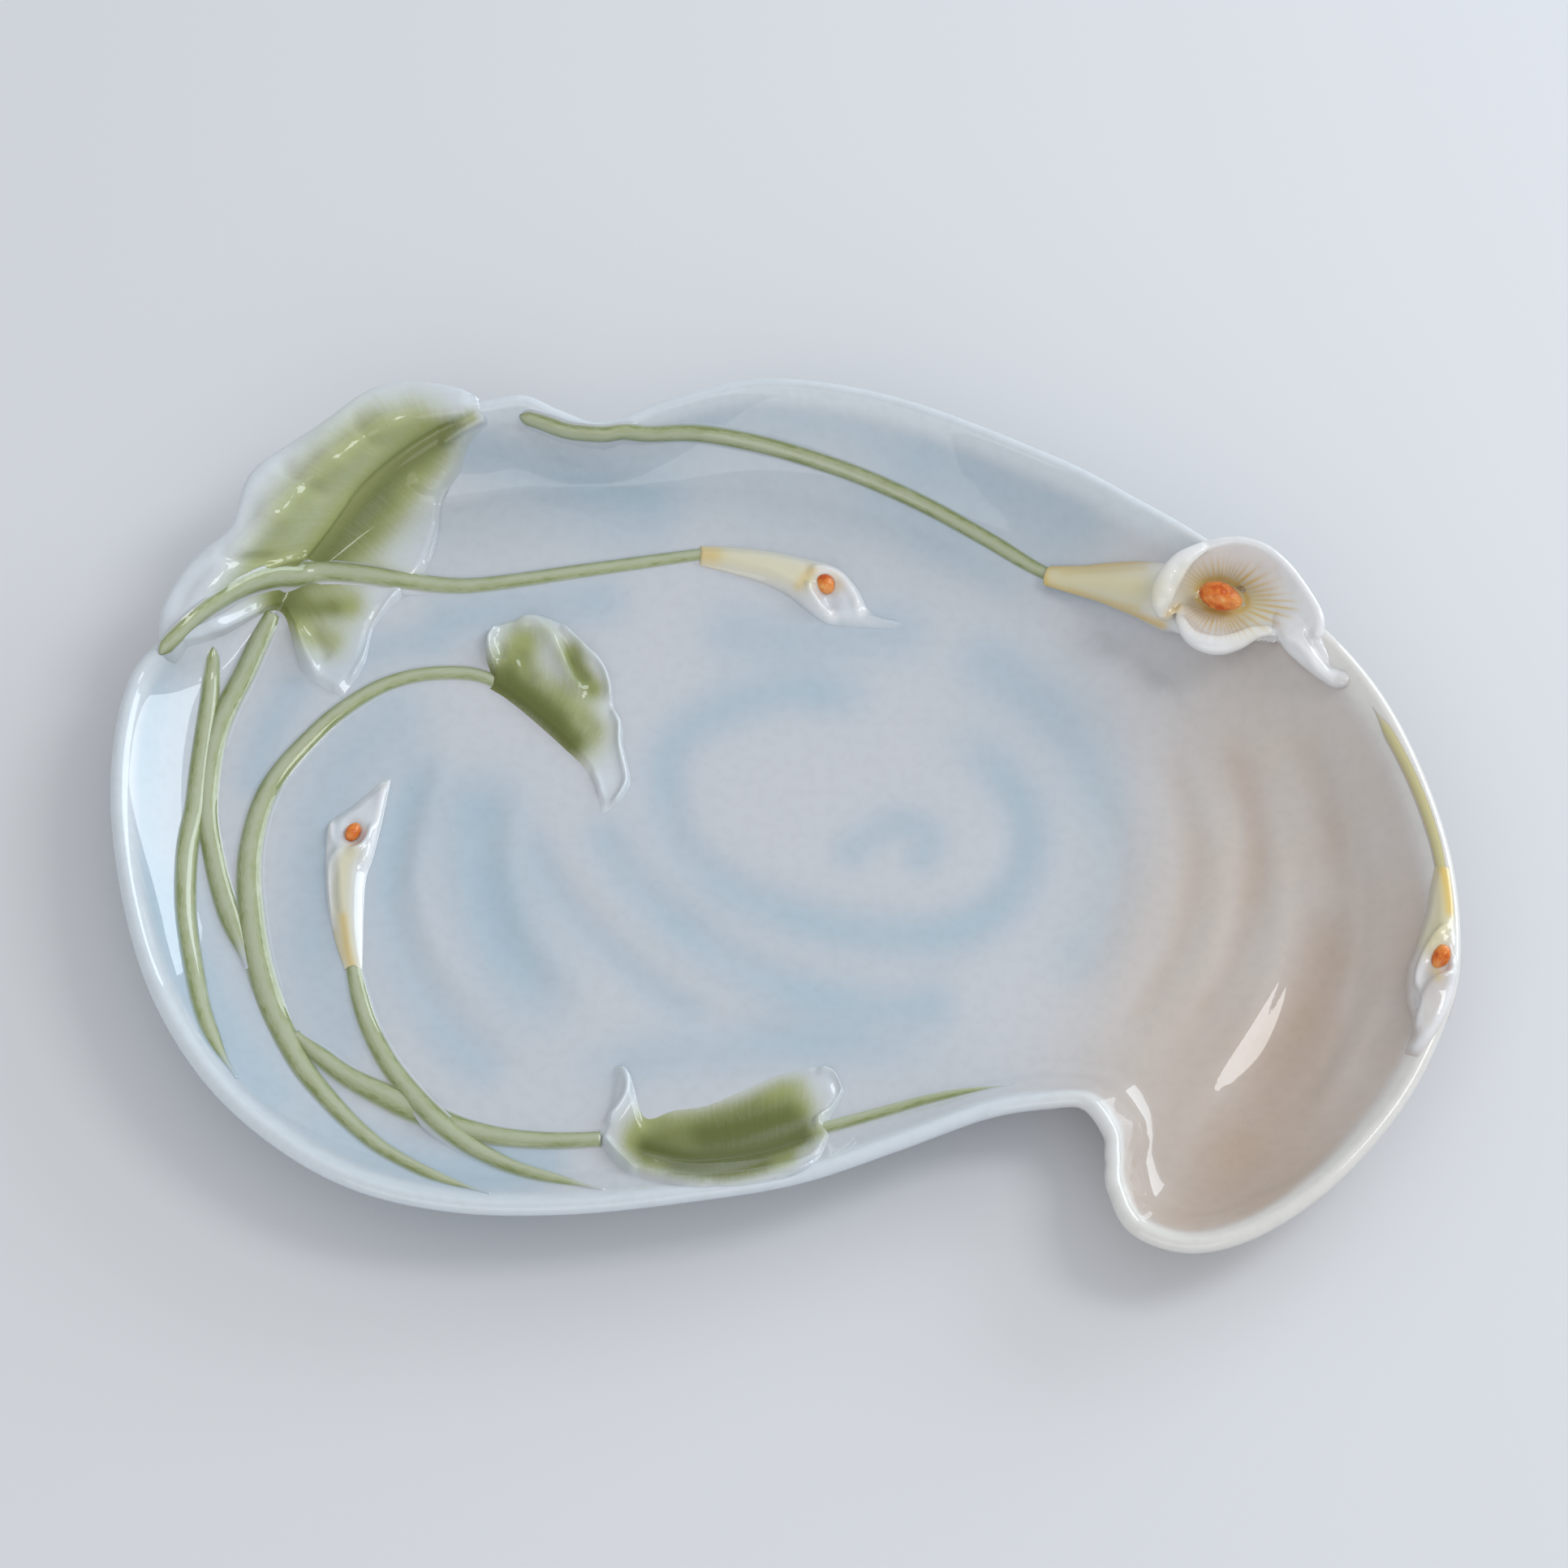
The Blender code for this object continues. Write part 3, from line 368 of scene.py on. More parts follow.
def lengthen_uv(thing: bpy.types.Object, along: float) -> None:
    """Stretches a sheet's UV map, so that a pattern keeps its size along a long piece."""
    layer = thing.data.uv_layers[0].data
    uv = np.empty(len(layer) * 2)
    layer.foreach_get("uv", uv)
    uv[1::2] *= along
    layer.foreach_set("uv", uv)


def sheet_on(name: str, stack: Array, looped: bool) -> bpy.types.Object:
    """A sheet laid on a table of points.

    Args:
        name: the piece's name.
        stack: the points, by row along the second share and then by column along the first.
        looped: whether the last column is followed by the first.

    Returns:
        The sheet.
    """
    rows, columns = stack.shape[:2]
    across = columns if looped else columns - 1

    def place(first: Array, second: Array) -> Array:
        return stack[np.round(second * (rows - 1)).astype(int), np.round(first * across).astype(int) % columns]

    return sheet(name, across, rows - 1, place)


def finish_piece(thing: bpy.types.Object, slot: str, material: bpy.types.Material, *nodes: str) -> None:
    """Smooths, dresses and seats a piece, and says which solids it stands for.

    Args:
        thing: the piece.
        slot: the record's material slot; not used.
        material: its material.
        nodes: the solids that it replaces.
    """
    only(thing)
    bpy.ops.object.shade_smooth()
    thing.data.materials.clear()
    thing.data.materials.append(material)
    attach(thing, BODY)
    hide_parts(*nodes)
    LOG.info("%s: %d faces, for %s", thing.name, len(thing.data.polygons), ", ".join(nodes))


def thicken(thing: bpy.types.Object, depth: float) -> None:
    """Gives an open sheet a body below it, by a Solidify modifier that is applied."""
    only(thing)
    step = thing.modifiers.new("body", "SOLIDIFY")
    step.thickness = depth
    step.offset = -1.0
    bpy.ops.object.modifier_apply(modifier=step.name)


# ---------------------------------------------------------------- the basin


@dataclass
class Basin:
    """The inside surface of the dish and the shell round it, on the sizes of the solids."""

    length: float = 0.260
    width: float = 0.198
    back_rim_height: float = 0.024
    wall: float = 0.0032
    floor_height: float = 0.0075
    floor_sag: float = 0.0006
    lip_rounding: float = 0.0011
    # of the wall's thickness, for where the lip's rounding starts, and steps down the wall
    lip_share: float = 0.55
    wall_step: float = 0.04
    below_step: float = 0.1
    flange: float = 0.012
    wall_power: float = 1.6
    left_steps: int = 64
    side_steps: int = 190
    tail_steps: int = 40
    tail_crowding: float = 1.7
    floor_rings: int = 50
    wall_rings: int = 24
    lip_rings: int = 10
    outer_rings: int = 14
    # where on the wall kept_within looks, and how much deeper it lets a piece lie over the lip
    kept_rings: int = 37
    kept_from: float = 0.1
    over_lip_from: float = 0.90
    over_lip: float = 0.009
    left_station: int = 7
    first_tail: int = 27
    last_tail: int = 32
    first_left: int = 43
    # outside of the lip (shares of length, width and rim height), foot of the wall, spine share
    stations: Rows = (
        (-0.494, -0.022, 0.79, -0.428, 0.017, 0.0), (-0.496, 0.067, 0.81, -0.428, 0.109, 0.0),
        (-0.487, 0.137, 0.83, -0.421, 0.174, 0.0), (-0.463, 0.179, 0.88, -0.410, 0.213, 0.0),
        (-0.445, 0.229, 0.92, -0.396, 0.244, 0.0), (-0.420, 0.279, 0.96, -0.378, 0.272, 0.0),
        (-0.393, 0.327, 1.00, -0.359, 0.299, 0.0), (-0.363, 0.377, 1.02, -0.339, 0.326, 0.0),
        (-0.328, 0.421, 1.04, -0.319, 0.354, 0.03), (-0.297, 0.448, 1.04, -0.296, 0.375, 0.07),
        (-0.265, 0.459, 1.04, -0.267, 0.391, 0.12), (-0.232, 0.463, 1.04, -0.233, 0.403, 0.18),
        (-0.198, 0.471, 1.04, -0.199, 0.410, 0.22), (-0.170, 0.458, 0.96, -0.171, 0.415, 0.25),
        (-0.135, 0.447, 0.90, -0.136, 0.418, 0.29), (-0.081, 0.476, 0.96, -0.082, 0.416, 0.34),
        (-0.006, 0.498, 1.00, -0.009, 0.410, 0.42), (0.095, 0.472, 1.00, 0.076, 0.381, 0.52),
        (0.213, 0.398, 1.00, 0.177, 0.310, 0.62), (0.275, 0.345, 1.00, 0.235, 0.249, 0.68),
        (0.329, 0.292, 1.00, 0.284, 0.191, 0.73), (0.397, 0.208, 1.00, 0.327, 0.123, 0.79),
        (0.446, 0.120, 1.00, 0.359, 0.054, 0.83), (0.477, 0.020, 0.98, 0.384, -0.026, 0.87),
        (0.495, -0.092, 0.96, 0.396, -0.107, 0.91), (0.495, -0.200, 0.92, 0.396, -0.186, 0.94),
        (0.479, -0.272, 0.88, 0.383, -0.255, 0.97), (0.447, -0.351, 0.81, 0.363, -0.309, 1.0),
        (0.397, -0.429, 0.77, 0.341, -0.358, 1.0), (0.343, -0.480, 0.73, 0.322, -0.394, 1.0),
        (0.294, -0.498, 0.71, 0.299, -0.409, 1.0), (0.254, -0.480, 0.71, 0.280, -0.394, 1.0),
        (0.239, -0.438, 0.71, 0.273, -0.367, 1.0), (0.238, -0.404, 0.71, 0.274, -0.340, 0.98),
        (0.236, -0.375, 0.71, 0.271, -0.311, 0.95), (0.219, -0.342, 0.71, 0.256, -0.284, 0.9),
        (0.191, -0.342, 0.71, 0.214, -0.269, 0.84), (0.147, -0.354, 0.71, 0.158, -0.275, 0.75),
        (0.082, -0.391, 0.73, 0.089, -0.305, 0.62), (0.013, -0.427, 0.75, 0.013, -0.337, 0.49),
        (-0.063, -0.446, 0.75, -0.064, -0.354, 0.37), (-0.149, -0.458, 0.73, -0.149, -0.363, 0.24),
        (-0.229, -0.456, 0.73, -0.219, -0.354, 0.11), (-0.300, -0.433, 0.73, -0.279, -0.329, 0.0),
        (-0.359, -0.386, 0.73, -0.330, -0.280, 0.0), (-0.411, -0.319, 0.75, -0.368, -0.213, 0.0),
        (-0.452, -0.230, 0.77, -0.401, -0.142, 0.0), (-0.478, -0.131, 0.79, -0.421, -0.065, 0.0),
    )
    spine_shares: Rows = (
        (-0.268, 0.018), (-0.147, 0.056), (-0.018, 0.061), (0.074, 0.033),
        (0.165, -0.020), (0.230, -0.086), (0.282, -0.199), (0.304, -0.352),
    )
    spine_places: tuple[float, ...] = (0.0, 0.20, 0.40, 0.55, 0.70, 0.80, 0.90, 1.0)

    def __post_init__(self) -> None:
        """Reads the tables at every station round the basin."""
        size = np.array([self.length, self.width])
        positions, places = self.divide()
        table = smooth_rows(self.stations, positions, closed=True)
        outside = table[:, 0:2] * size
        self.rim_height = table[:, 2] * self.back_rim_height
        self.foot = table[:, 3:5] * size
        run = np.linalg.norm(outside - self.foot, axis=1)
        rise = self.wall_power * (self.rim_height - self.floor_height)
        inset = self.wall * rise / np.hypot(rise, run) - self.lip_rounding
        self.rim = self.inwards(outside, inset)
        along = np.interp(places, self.spine_places, np.arange(len(self.spine_shares)))
        self.spine = smooth_rows(self.spine_shares, along) * size
        self.count = len(positions)

    def divide(self) -> tuple[Array, Array]:
        """Station positions round the basin and where on the spine each springs from."""
        spring = np.array([row[5] for row in self.stations])
        crowd = 1 - (1 - np.arange(self.side_steps) / self.side_steps) ** self.tail_crowding
        left_end = len(self.stations) + self.left_station
        left = np.linspace(self.first_left, left_end, self.left_steps + 1)[:-1]
        back_rows = np.arange(self.left_station, self.first_tail + 1)
        back = np.interp(crowd, spring[back_rows], back_rows)
        tail = np.linspace(self.first_tail, self.last_tail, self.tail_steps + 1)[:-1]
        front_rows = np.arange(self.first_left, self.last_tail - 1, -1)
        mirrored = np.concatenate([[1.0], crowd[:0:-1]])
        front = np.interp(mirrored, spring[front_rows], front_rows)
        places = np.concatenate([np.zeros(self.left_steps), crowd, np.ones(self.tail_steps), mirrored])
        return np.concatenate([left, back, tail, front]), places

    @staticmethod
    def inwards(points: Array, distance: Array | float) -> Array:
        """A closed plan outline moved inwards by a distance, square to itself."""
        ahead = ring_ahead(points)
        return points + np.reshape(distance, (-1, 1)) * np.stack([ahead[:, 1], -ahead[:, 0]], axis=1)

    def floor_ring(self, share: float) -> Array:
        """The floor, this share of the way from spine to wall."""
        plan = self.spine + share * (self.foot - self.spine)
        level = self.floor_height - self.floor_sag * (1 - share**2)
        return np.column_stack([plan, np.full(self.count, level)])

    def below_lip(self) -> Array:
        """How far up the wall its plain part goes at each station, before the lip's rounding."""
        length = np.linalg.norm(self.wall_ring(1.0) - self.wall_ring(1.0 - self.below_step), axis=1)
        return 1 - self.below_step * self.lip_share * self.wall / length

    def wall_ring(self, share: Array | float) -> Array:
        """The wall, this share of the way from foot to lip."""
        part = np.reshape(share, (-1, 1)) * np.ones((self.count, 1))
        plan = self.foot + part * (self.rim - self.foot)
        rise = part[:, 0] ** self.wall_power * (self.rim_height - self.floor_height)
        return np.column_stack([plan, self.floor_height + rise])

    def kept_within(self, points: Array, depth: float) -> Array:
        """Points that lie deeper than a depth behind the wall's face, moved up to it.

        Near the lip the depth grows, so that what hangs over the rim stays outside.

        Args:
            points: places on the dish.
            depth: how deep they may lie, in metres.

        Returns:
            The places, moved where they lay deeper.
        """
        shares = np.linspace(self.kept_from, 1, self.kept_rings)
        rings = np.array([self.wall_ring(share) for share in shares])
        along = np.roll(rings, -1, axis=1) - np.roll(rings, 1, axis=1)
        square = unit(np.cross(np.gradient(rings, axis=0), along))
        square = upward(square).reshape(-1, 3)
        faces = rings.reshape(-1, 3)
        tree = KDTree(len(faces))
        for index, place in enumerate(faces):
            tree.insert(place, index)
        tree.balance()
        nearest = np.array([tree.find(point)[1] for point in points])
        most = depth + self.over_lip * soft_step(shares[nearest // self.count], self.over_lip_from, 1.0)
        deeper = -((points - faces[nearest]) * square[nearest]).sum(axis=1) - most
        return points + np.maximum(deeper, 0)[:, None] * square[nearest]

    def lip_frame(self) -> tuple[Array, Array, Array]:
        """The lip's edge, the direction up the wall there and the one square to the wall."""
        edge = self.wall_ring(1.0)
        along = ring_ahead(edge)
        square = upward(unit(np.cross(along, unit(edge - self.wall_ring(1.0 - self.wall_step)))))
        return edge, unit(upward(np.cross(square, along))), square


RIPPLES = (
    Stroke((1050, 1030, 1098, 1024, 1130, 1018), 24, -0.00025),
    Stroke((839, 860, 821, 942, 830, 1024, 885, 1078, 966, 1110, 1066, 1124, 1157, 1119, 1221, 1087, 1253, 1033, 1239,
           987, 1203, 955, 1157, 933), 20, -0.00044),
    Stroke((725, 985, 739, 1015, 775, 1078, 857, 1146, 939, 1192, 1021, 1205, 1112, 1201, 1185, 1174, 1235, 1125), 19,
           -0.00046),
    Stroke((657, 974, 659, 1033, 680, 1087, 716, 1133, 766, 1183, 821, 1228, 885, 1260, 957, 1274, 1021, 1274, 1085,
           1265), 18, -0.00049),
    Stroke((590, 950, 590, 1033, 597, 1096, 617, 1160, 657, 1215, 720, 1265), 26, -0.00049),
    Stroke((530, 915, 498, 996, 483, 1069, 485, 1133, 512, 1196, 557, 1260, 621, 1310, 694, 1342), 19, -0.00049),
    Stroke((1194, 851, 1266, 887, 1321, 933, 1362, 996, 1380, 1060, 1371, 1124, 1344, 1178, 1294, 1224), 22, -0.00049),
    Stroke((1425, 880, 1453, 978, 1468, 1060, 1452, 1151, 1410, 1233, 1345, 1300), 22, -0.00070),
    Stroke((1490, 860, 1526, 942, 1545, 1033, 1534, 1124, 1498, 1215, 1440, 1290, 1385, 1330), 22, -0.00095, 0.3),
    Stroke((1570, 860, 1620, 955, 1638, 1055, 1630, 1155, 1596, 1255, 1541, 1345, 1480, 1425), 36, -0.00175, 0.25),
    Stroke((1455, 900, 1490, 985, 1507, 1080, 1492, 1180, 1450, 1265, 1395, 1318), 17, 0.00045, 0.35),
    Stroke((1545, 900, 1572, 980, 1584, 1080, 1572, 1185, 1530, 1275, 1475, 1350, 1420, 1425), 19, 0.00090, 0.35),
    Stroke((560, 880, 530, 996, 514, 1078, 530, 1151, 573, 1215, 635, 1268), 14, 0.00035),
    Stroke((640, 930, 628, 1060, 636, 1110, 664, 1165, 712, 1215, 766, 1250), 12, 0.00030),
    Stroke((700, 1000, 712, 1050, 750, 1110, 830, 1170, 920, 1220, 1020, 1240), 12, 0.00025),
)
WALL_FOLDS = (
    Stroke((604, 526, 640, 550, 690, 580, 740, 600), 11, 0.0013),
    Stroke((640, 512, 680, 532, 716, 556), 9, 0.0009),
    Stroke((625, 540, 668, 566, 716, 590), 10, -0.0009),
    Stroke((1572, 790, 1586, 812, 1598, 842), 9, 0.0010),
    Stroke((1662, 1010, 1682, 1100, 1668, 1220, 1636, 1305, 1580, 1385), 9, -0.0004),
    Stroke((1716, 1165, 1700, 1230, 1655, 1320, 1600, 1390), 12, 0.0005),
)


class Ground:
    """The surface that pieces are laid on, as heights over a fine grid of the plan."""

    step = 0.0005
    low = np.array([-0.142, -0.112])
    high = np.array([0.142, 0.112])
    first_height = 0.012
    rounds = 40

    def __init__(self, rings: list[Array]) -> None:
        """Casts down onto rings of points.

        Args:
            rings: closed rings, each joined to the next.
        """
        count = len(rings[0])
        rows, cols = np.meshgrid(np.arange(len(rings) - 1), np.arange(count), indexing="ij")
        ahead = (cols + 1) % count
        corners = np.stack(
            [rows * count + cols, (rows + 1) * count + cols, (rows + 1) * count + ahead, rows * count + ahead],
            axis=-1,
        ).reshape(-1, 4)
        tree = BVHTree.FromPolygons(np.concatenate(rings).tolist(), corners.tolist())
        across, down = np.round((self.high - self.low) / self.step).astype(int) + 1
        self.heights = np.full((across, down), np.nan)
        for i, x in enumerate(self.low[0] + self.step * np.arange(across)):
            for j, y in enumerate(self.low[1] + self.step * np.arange(down)):
                spot = tree.ray_cast(Vector((x, y, 1.0)), Vector((0, 0, -1)))[0]
                if spot is not None:
                    self.heights[i, j] = spot.z
        self.fill_outside()

    def fill_outside(self) -> None:
        """Carries the edge's height outwards where nothing was hit."""
        while np.isnan(self.heights).any():
            known = ~np.isnan(self.heights)
            padded = np.pad(np.where(known, self.heights, 0.0), 1)
            weight = np.pad(known.astype(float), 1)
            total = padded[:-2, 1:-1] + padded[2:, 1:-1] + padded[1:-1, :-2] + padded[1:-1, 2:]
            count = weight[:-2, 1:-1] + weight[2:, 1:-1] + weight[1:-1, :-2] + weight[1:-1, 2:]
            fill = ~known & (count > 0)
            self.heights[fill] = total[fill] / count[fill]

    def height(self, plan: Array) -> Array:
        """Smoothly read heights at places on the plan."""
        spots = (plan[:, 0:2] - self.low) / self.step
        last = np.array(self.heights.shape) - 3
        whole = np.clip(np.floor(spots).astype(int), 1, last)
        part = np.clip(spots - whole, 0.0, 1.0)

        def weights(t: Array) -> Array:
            return 0.5 * np.stack(
                [-t + 2 * t**2 - t**3, 2 - 5 * t**2 + 3 * t**3, t + 4 * t**2 - 3 * t**3, -(t**2) + t**3]
            )

        first, second = weights(part[:, 0]), weights(part[:, 1])
        out = np.zeros(len(spots))
        for i in range(4):
            for j in range(4):
                out += first[i] * second[j] * self.heights[whole[:, 0] + i - 1, whole[:, 1] + j - 1]
        return out

    def place(self, plan: Array) -> Array:
        """Points of the ground at places on the plan."""
        return np.column_stack([plan[:, 0:2], self.height(plan)])

    def square(self, plan: Array, reach: float = 0.0006) -> Array:
        """The direction square to the ground at places on the plan."""
        slopes = [
            (self.height(plan[:, 0:2] + step) - self.height(plan[:, 0:2] - step)) / (2 * reach)
            for step in (np.array([reach, 0.0]), np.array([0.0, reach]))
        ]
        return unit(np.column_stack([-slopes[0], -slopes[1], np.ones(len(plan))]))

    def seen(self, pixels: Rows | Array, rise: Array | float = 0.0) -> Array:
        """Where the rays through pixels come to this height above the ground."""
        guess = np.full(len(pixels), self.first_height)
        for _ in range(self.rounds):
            spots = SIGHT.at_height(pixels, guess)
            guess = 0.5 * guess + 0.5 * (self.height(spots) + rise)
        return SIGHT.at_height(pixels, guess)

    def with_piece(self, thing: bpy.types.Object) -> "Ground":
        """This ground with a piece lying on it."""
        mesh = thing.data
        faces = [tuple(face.vertices) for face in mesh.polygons]
        points = points_of(thing)
        tree = BVHTree.FromPolygons(points.tolist(), faces)
        made = object.__new__(Ground)
        made.heights = self.heights.copy()
        low = np.floor((points[:, 0:2].min(axis=0) - self.low) / self.step).astype(int)
        high = np.ceil((points[:, 0:2].max(axis=0) - self.low) / self.step).astype(int)
        for i in range(low[0], high[0] + 1):
            for j in range(low[1], high[1] + 1):
                x, y = self.low + self.step * np.array([i, j])
                spot = tree.ray_cast(Vector((x, y, 1.0)), Vector((0, 0, -1)))[0]
                if spot is not None:
                    made.heights[i, j] = max(made.heights[i, j], spot.z)
        return made


# ---------------------------------------------------------------- washes of colour


class Wash(Enum):
    """The washes brushed on the basin under its clear glaze."""

    BLUE = "blue"
    CREAM = "cream"
    BEIGE = "beige"


BLUE_STROKES = (
    Stroke((1050, 1046, 1080, 1024, 1112, 1016, 1142, 1030, 1136, 1052), 28, 0.75),
    Stroke((1098, 868, 980, 850, 880, 880, 823, 930, 832, 1024, 885, 1088, 966, 1126, 1066, 1150, 1167, 1150, 1237,
           1113, 1268, 1053, 1258, 987, 1211, 928, 1150, 892), 34, 0.85, 0.08),
    Stroke((725, 985, 742, 1025, 780, 1088, 857, 1156, 939, 1205, 1021, 1232, 1112, 1244, 1200, 1228), 34, 0.90, 0.10),
    Stroke((640, 1334, 760, 1310, 880, 1292, 1000, 1284, 1110, 1290, 1220, 1300), 40, 0.80, 0.32),
    Stroke((657, 1010, 664, 1053, 686, 1100, 722, 1143, 772, 1190, 826, 1232, 885, 1262), 24, 0.80, 0.12),
    Stroke((590, 905, 592, 990, 600, 1070, 620, 1150, 660, 1215, 730, 1275), 60, 1.0, 0.06),
    Stroke((536, 905, 500, 996, 484, 1069, 486, 1143, 514, 1216, 560, 1285, 640, 1345), 36, 0.90, 0.10),
    Stroke((1150, 782, 1240, 836, 1318, 905, 1364, 988, 1380, 1080, 1350, 1165, 1290, 1232), 46, 0.85, 0.08),
    Stroke((540, 650, 640, 640, 720, 648, 790, 655), 44, 0.34, 0.3),
    Stroke((590, 560, 650, 576, 720, 594, 800, 612), 42, 0.90, 0.3),
    Stroke((830, 660, 980, 640, 1120, 655, 1220, 720), 44, 0.26, 0.3),
    Stroke((800, 528, 880, 510, 980, 512, 1080, 540, 1180, 585), 36, 0.70, 0.1),
    Stroke((1060, 540, 1180, 576, 1290, 622, 1400, 676), 48, 0.80, 0.25),
    Stroke((1080, 625, 1160, 668, 1230, 712), 30, 0.55),
    Stroke((830, 762, 960, 786, 1090, 778, 1180, 800), 44, 0.75, 0.1),
    Stroke((500, 786, 560, 762, 660, 745, 800, 742), 34, 0.80, 0.1),
    Stroke((420, 820, 470, 796, 530, 790), 26, 0.70),
    Stroke((360, 850, 332, 900, 312, 960), 28, 0.90),
    Stroke((560, 850, 490, 890, 430, 940, 398, 1040, 390, 1160, 415, 1260, 470, 1335), 50, 0.85, 0.08),
    Stroke((340, 1352, 420, 1406, 540, 1444, 700, 1462), 40, 0.90, 0.1),
    Stroke((550, 1420, 640, 1425, 720, 1440), 26, 0.90, 0.1),
    Stroke((168, 860, 160, 960, 172, 1060, 205, 1160, 250, 1250, 320, 1350), 64, 1.0, 0.0),
    Stroke((700, 556, 850, 572, 1000, 580, 1150, 622, 1280, 684, 1400, 744), 66, 0.45, 0.2),
    Stroke((190, 1290, 290, 1400, 400, 1462, 540, 1492, 700, 1494, 850, 1478, 1000, 1454, 1160, 1402, 1290, 1372), 24,
           0.55, 0.1),
)
BEIGE_STROKES = (
    Stroke((1646, 1040, 1626, 1200, 1582, 1320, 1515, 1415, 1430, 1500), 58, 0.74, 0.3),
    Stroke((1610, 1330, 1550, 1420, 1460, 1500), 66, 0.66, 0.3),
    Stroke((1430, 870, 1456, 978, 1470, 1060, 1454, 1151, 1412, 1233, 1340, 1310), 24, 0.46, 0.2),
    Stroke((1500, 860, 1532, 960, 1548, 1040, 1536, 1130, 1500, 1215, 1430, 1300), 24, 0.50, 0.2),
    Stroke((1590, 880, 1630, 980, 1650, 1100), 30, 0.42, 0.2),
    Stroke((1490, 1500, 1570, 1470, 1650, 1400, 1720, 1300), 30, 0.50),
)


class Washes:
    """How strong each wash is at a place, which every piece shares so that they meet unseen.

    Blue gives way to cream, and cream takes on beige, across slanted bands given in pixels.
    """

    across_slant, across_level = 0.25, 1000
    down_slant, down_level = 0.5, 1500
    cream_band = (1290, 1560)
    blue_band = (1350, 1520)
    beige_band = (1000, 1440)
    beige_least, beige_gain = 0.16, 0.28

    @classmethod
    def shares(cls, points: Array) -> dict[str, Array]:
        """The strength of each wash at points of the dish."""
        seen = SIGHT.pixels(points)
        across = seen[:, 0] + cls.across_slant * (seen[:, 1] - cls.across_level)
        down = seen[:, 1] + cls.down_slant * (seen[:, 0] - cls.down_level)
        cream = soft_step(across, *cls.cream_band)
        plain_beige = cls.beige_least + cls.beige_gain * soft_step(down, *cls.beige_band)
        return {
            Wash.BLUE.value: covered(BLUE_STROKES, seen, lifted=True) * (1 - soft_step(across, *cls.blue_band)),
            Wash.CREAM.value: cream,
            Wash.BEIGE.value: cream * np.maximum(plain_beige, covered(BEIGE_STROKES, seen, lifted=True)),
        }


# ---------------------------------------------------------------- finishes


def screen(red: int, green: int, blue: int) -> tuple[float, float, float, float]:
    """A colour given by its values on screen, as a shader takes it."""
    values = [level / 255 for level in (red, green, blue)]
    return (*[v / 12.92 if v <= 0.04 else ((v + 0.055) / 1.055) ** 2.4 for v in values], 1.0)


@dataclass(frozen=True)
class Finish:
    """How a surface takes the light.

    Attributes:
        roughness: of the body under the glaze.
        coat: how much clear glaze lies on it.
        coat_roughness: how soft the glaze's reflections are.
        specular: how much the body under the glaze reflects, as the shader's level.
        subsurface: how far the body lets light in, as a share.
        wave: height of the slow waves in the glaze, in metres.
        grain: height of the fine grain of the body, in metres.
    """

    roughness: float = 0.35
    coat: float = 1.0
    coat_roughness: float = 0.03
    specular: float = 0.10
    subsurface: float = 0.08
    wave: float = 0.00006
    grain: float = 0.0


GLAZED = Finish()
KNOB = Finish(roughness=0.5, coat=0.55, coat_roughness=0.14, specular=0.05, subsurface=0.05, wave=0.0)
BARE = Finish(roughness=0.62, coat=0.0, specular=0.5, subsurface=0.05, wave=0.0, grain=0.00003)


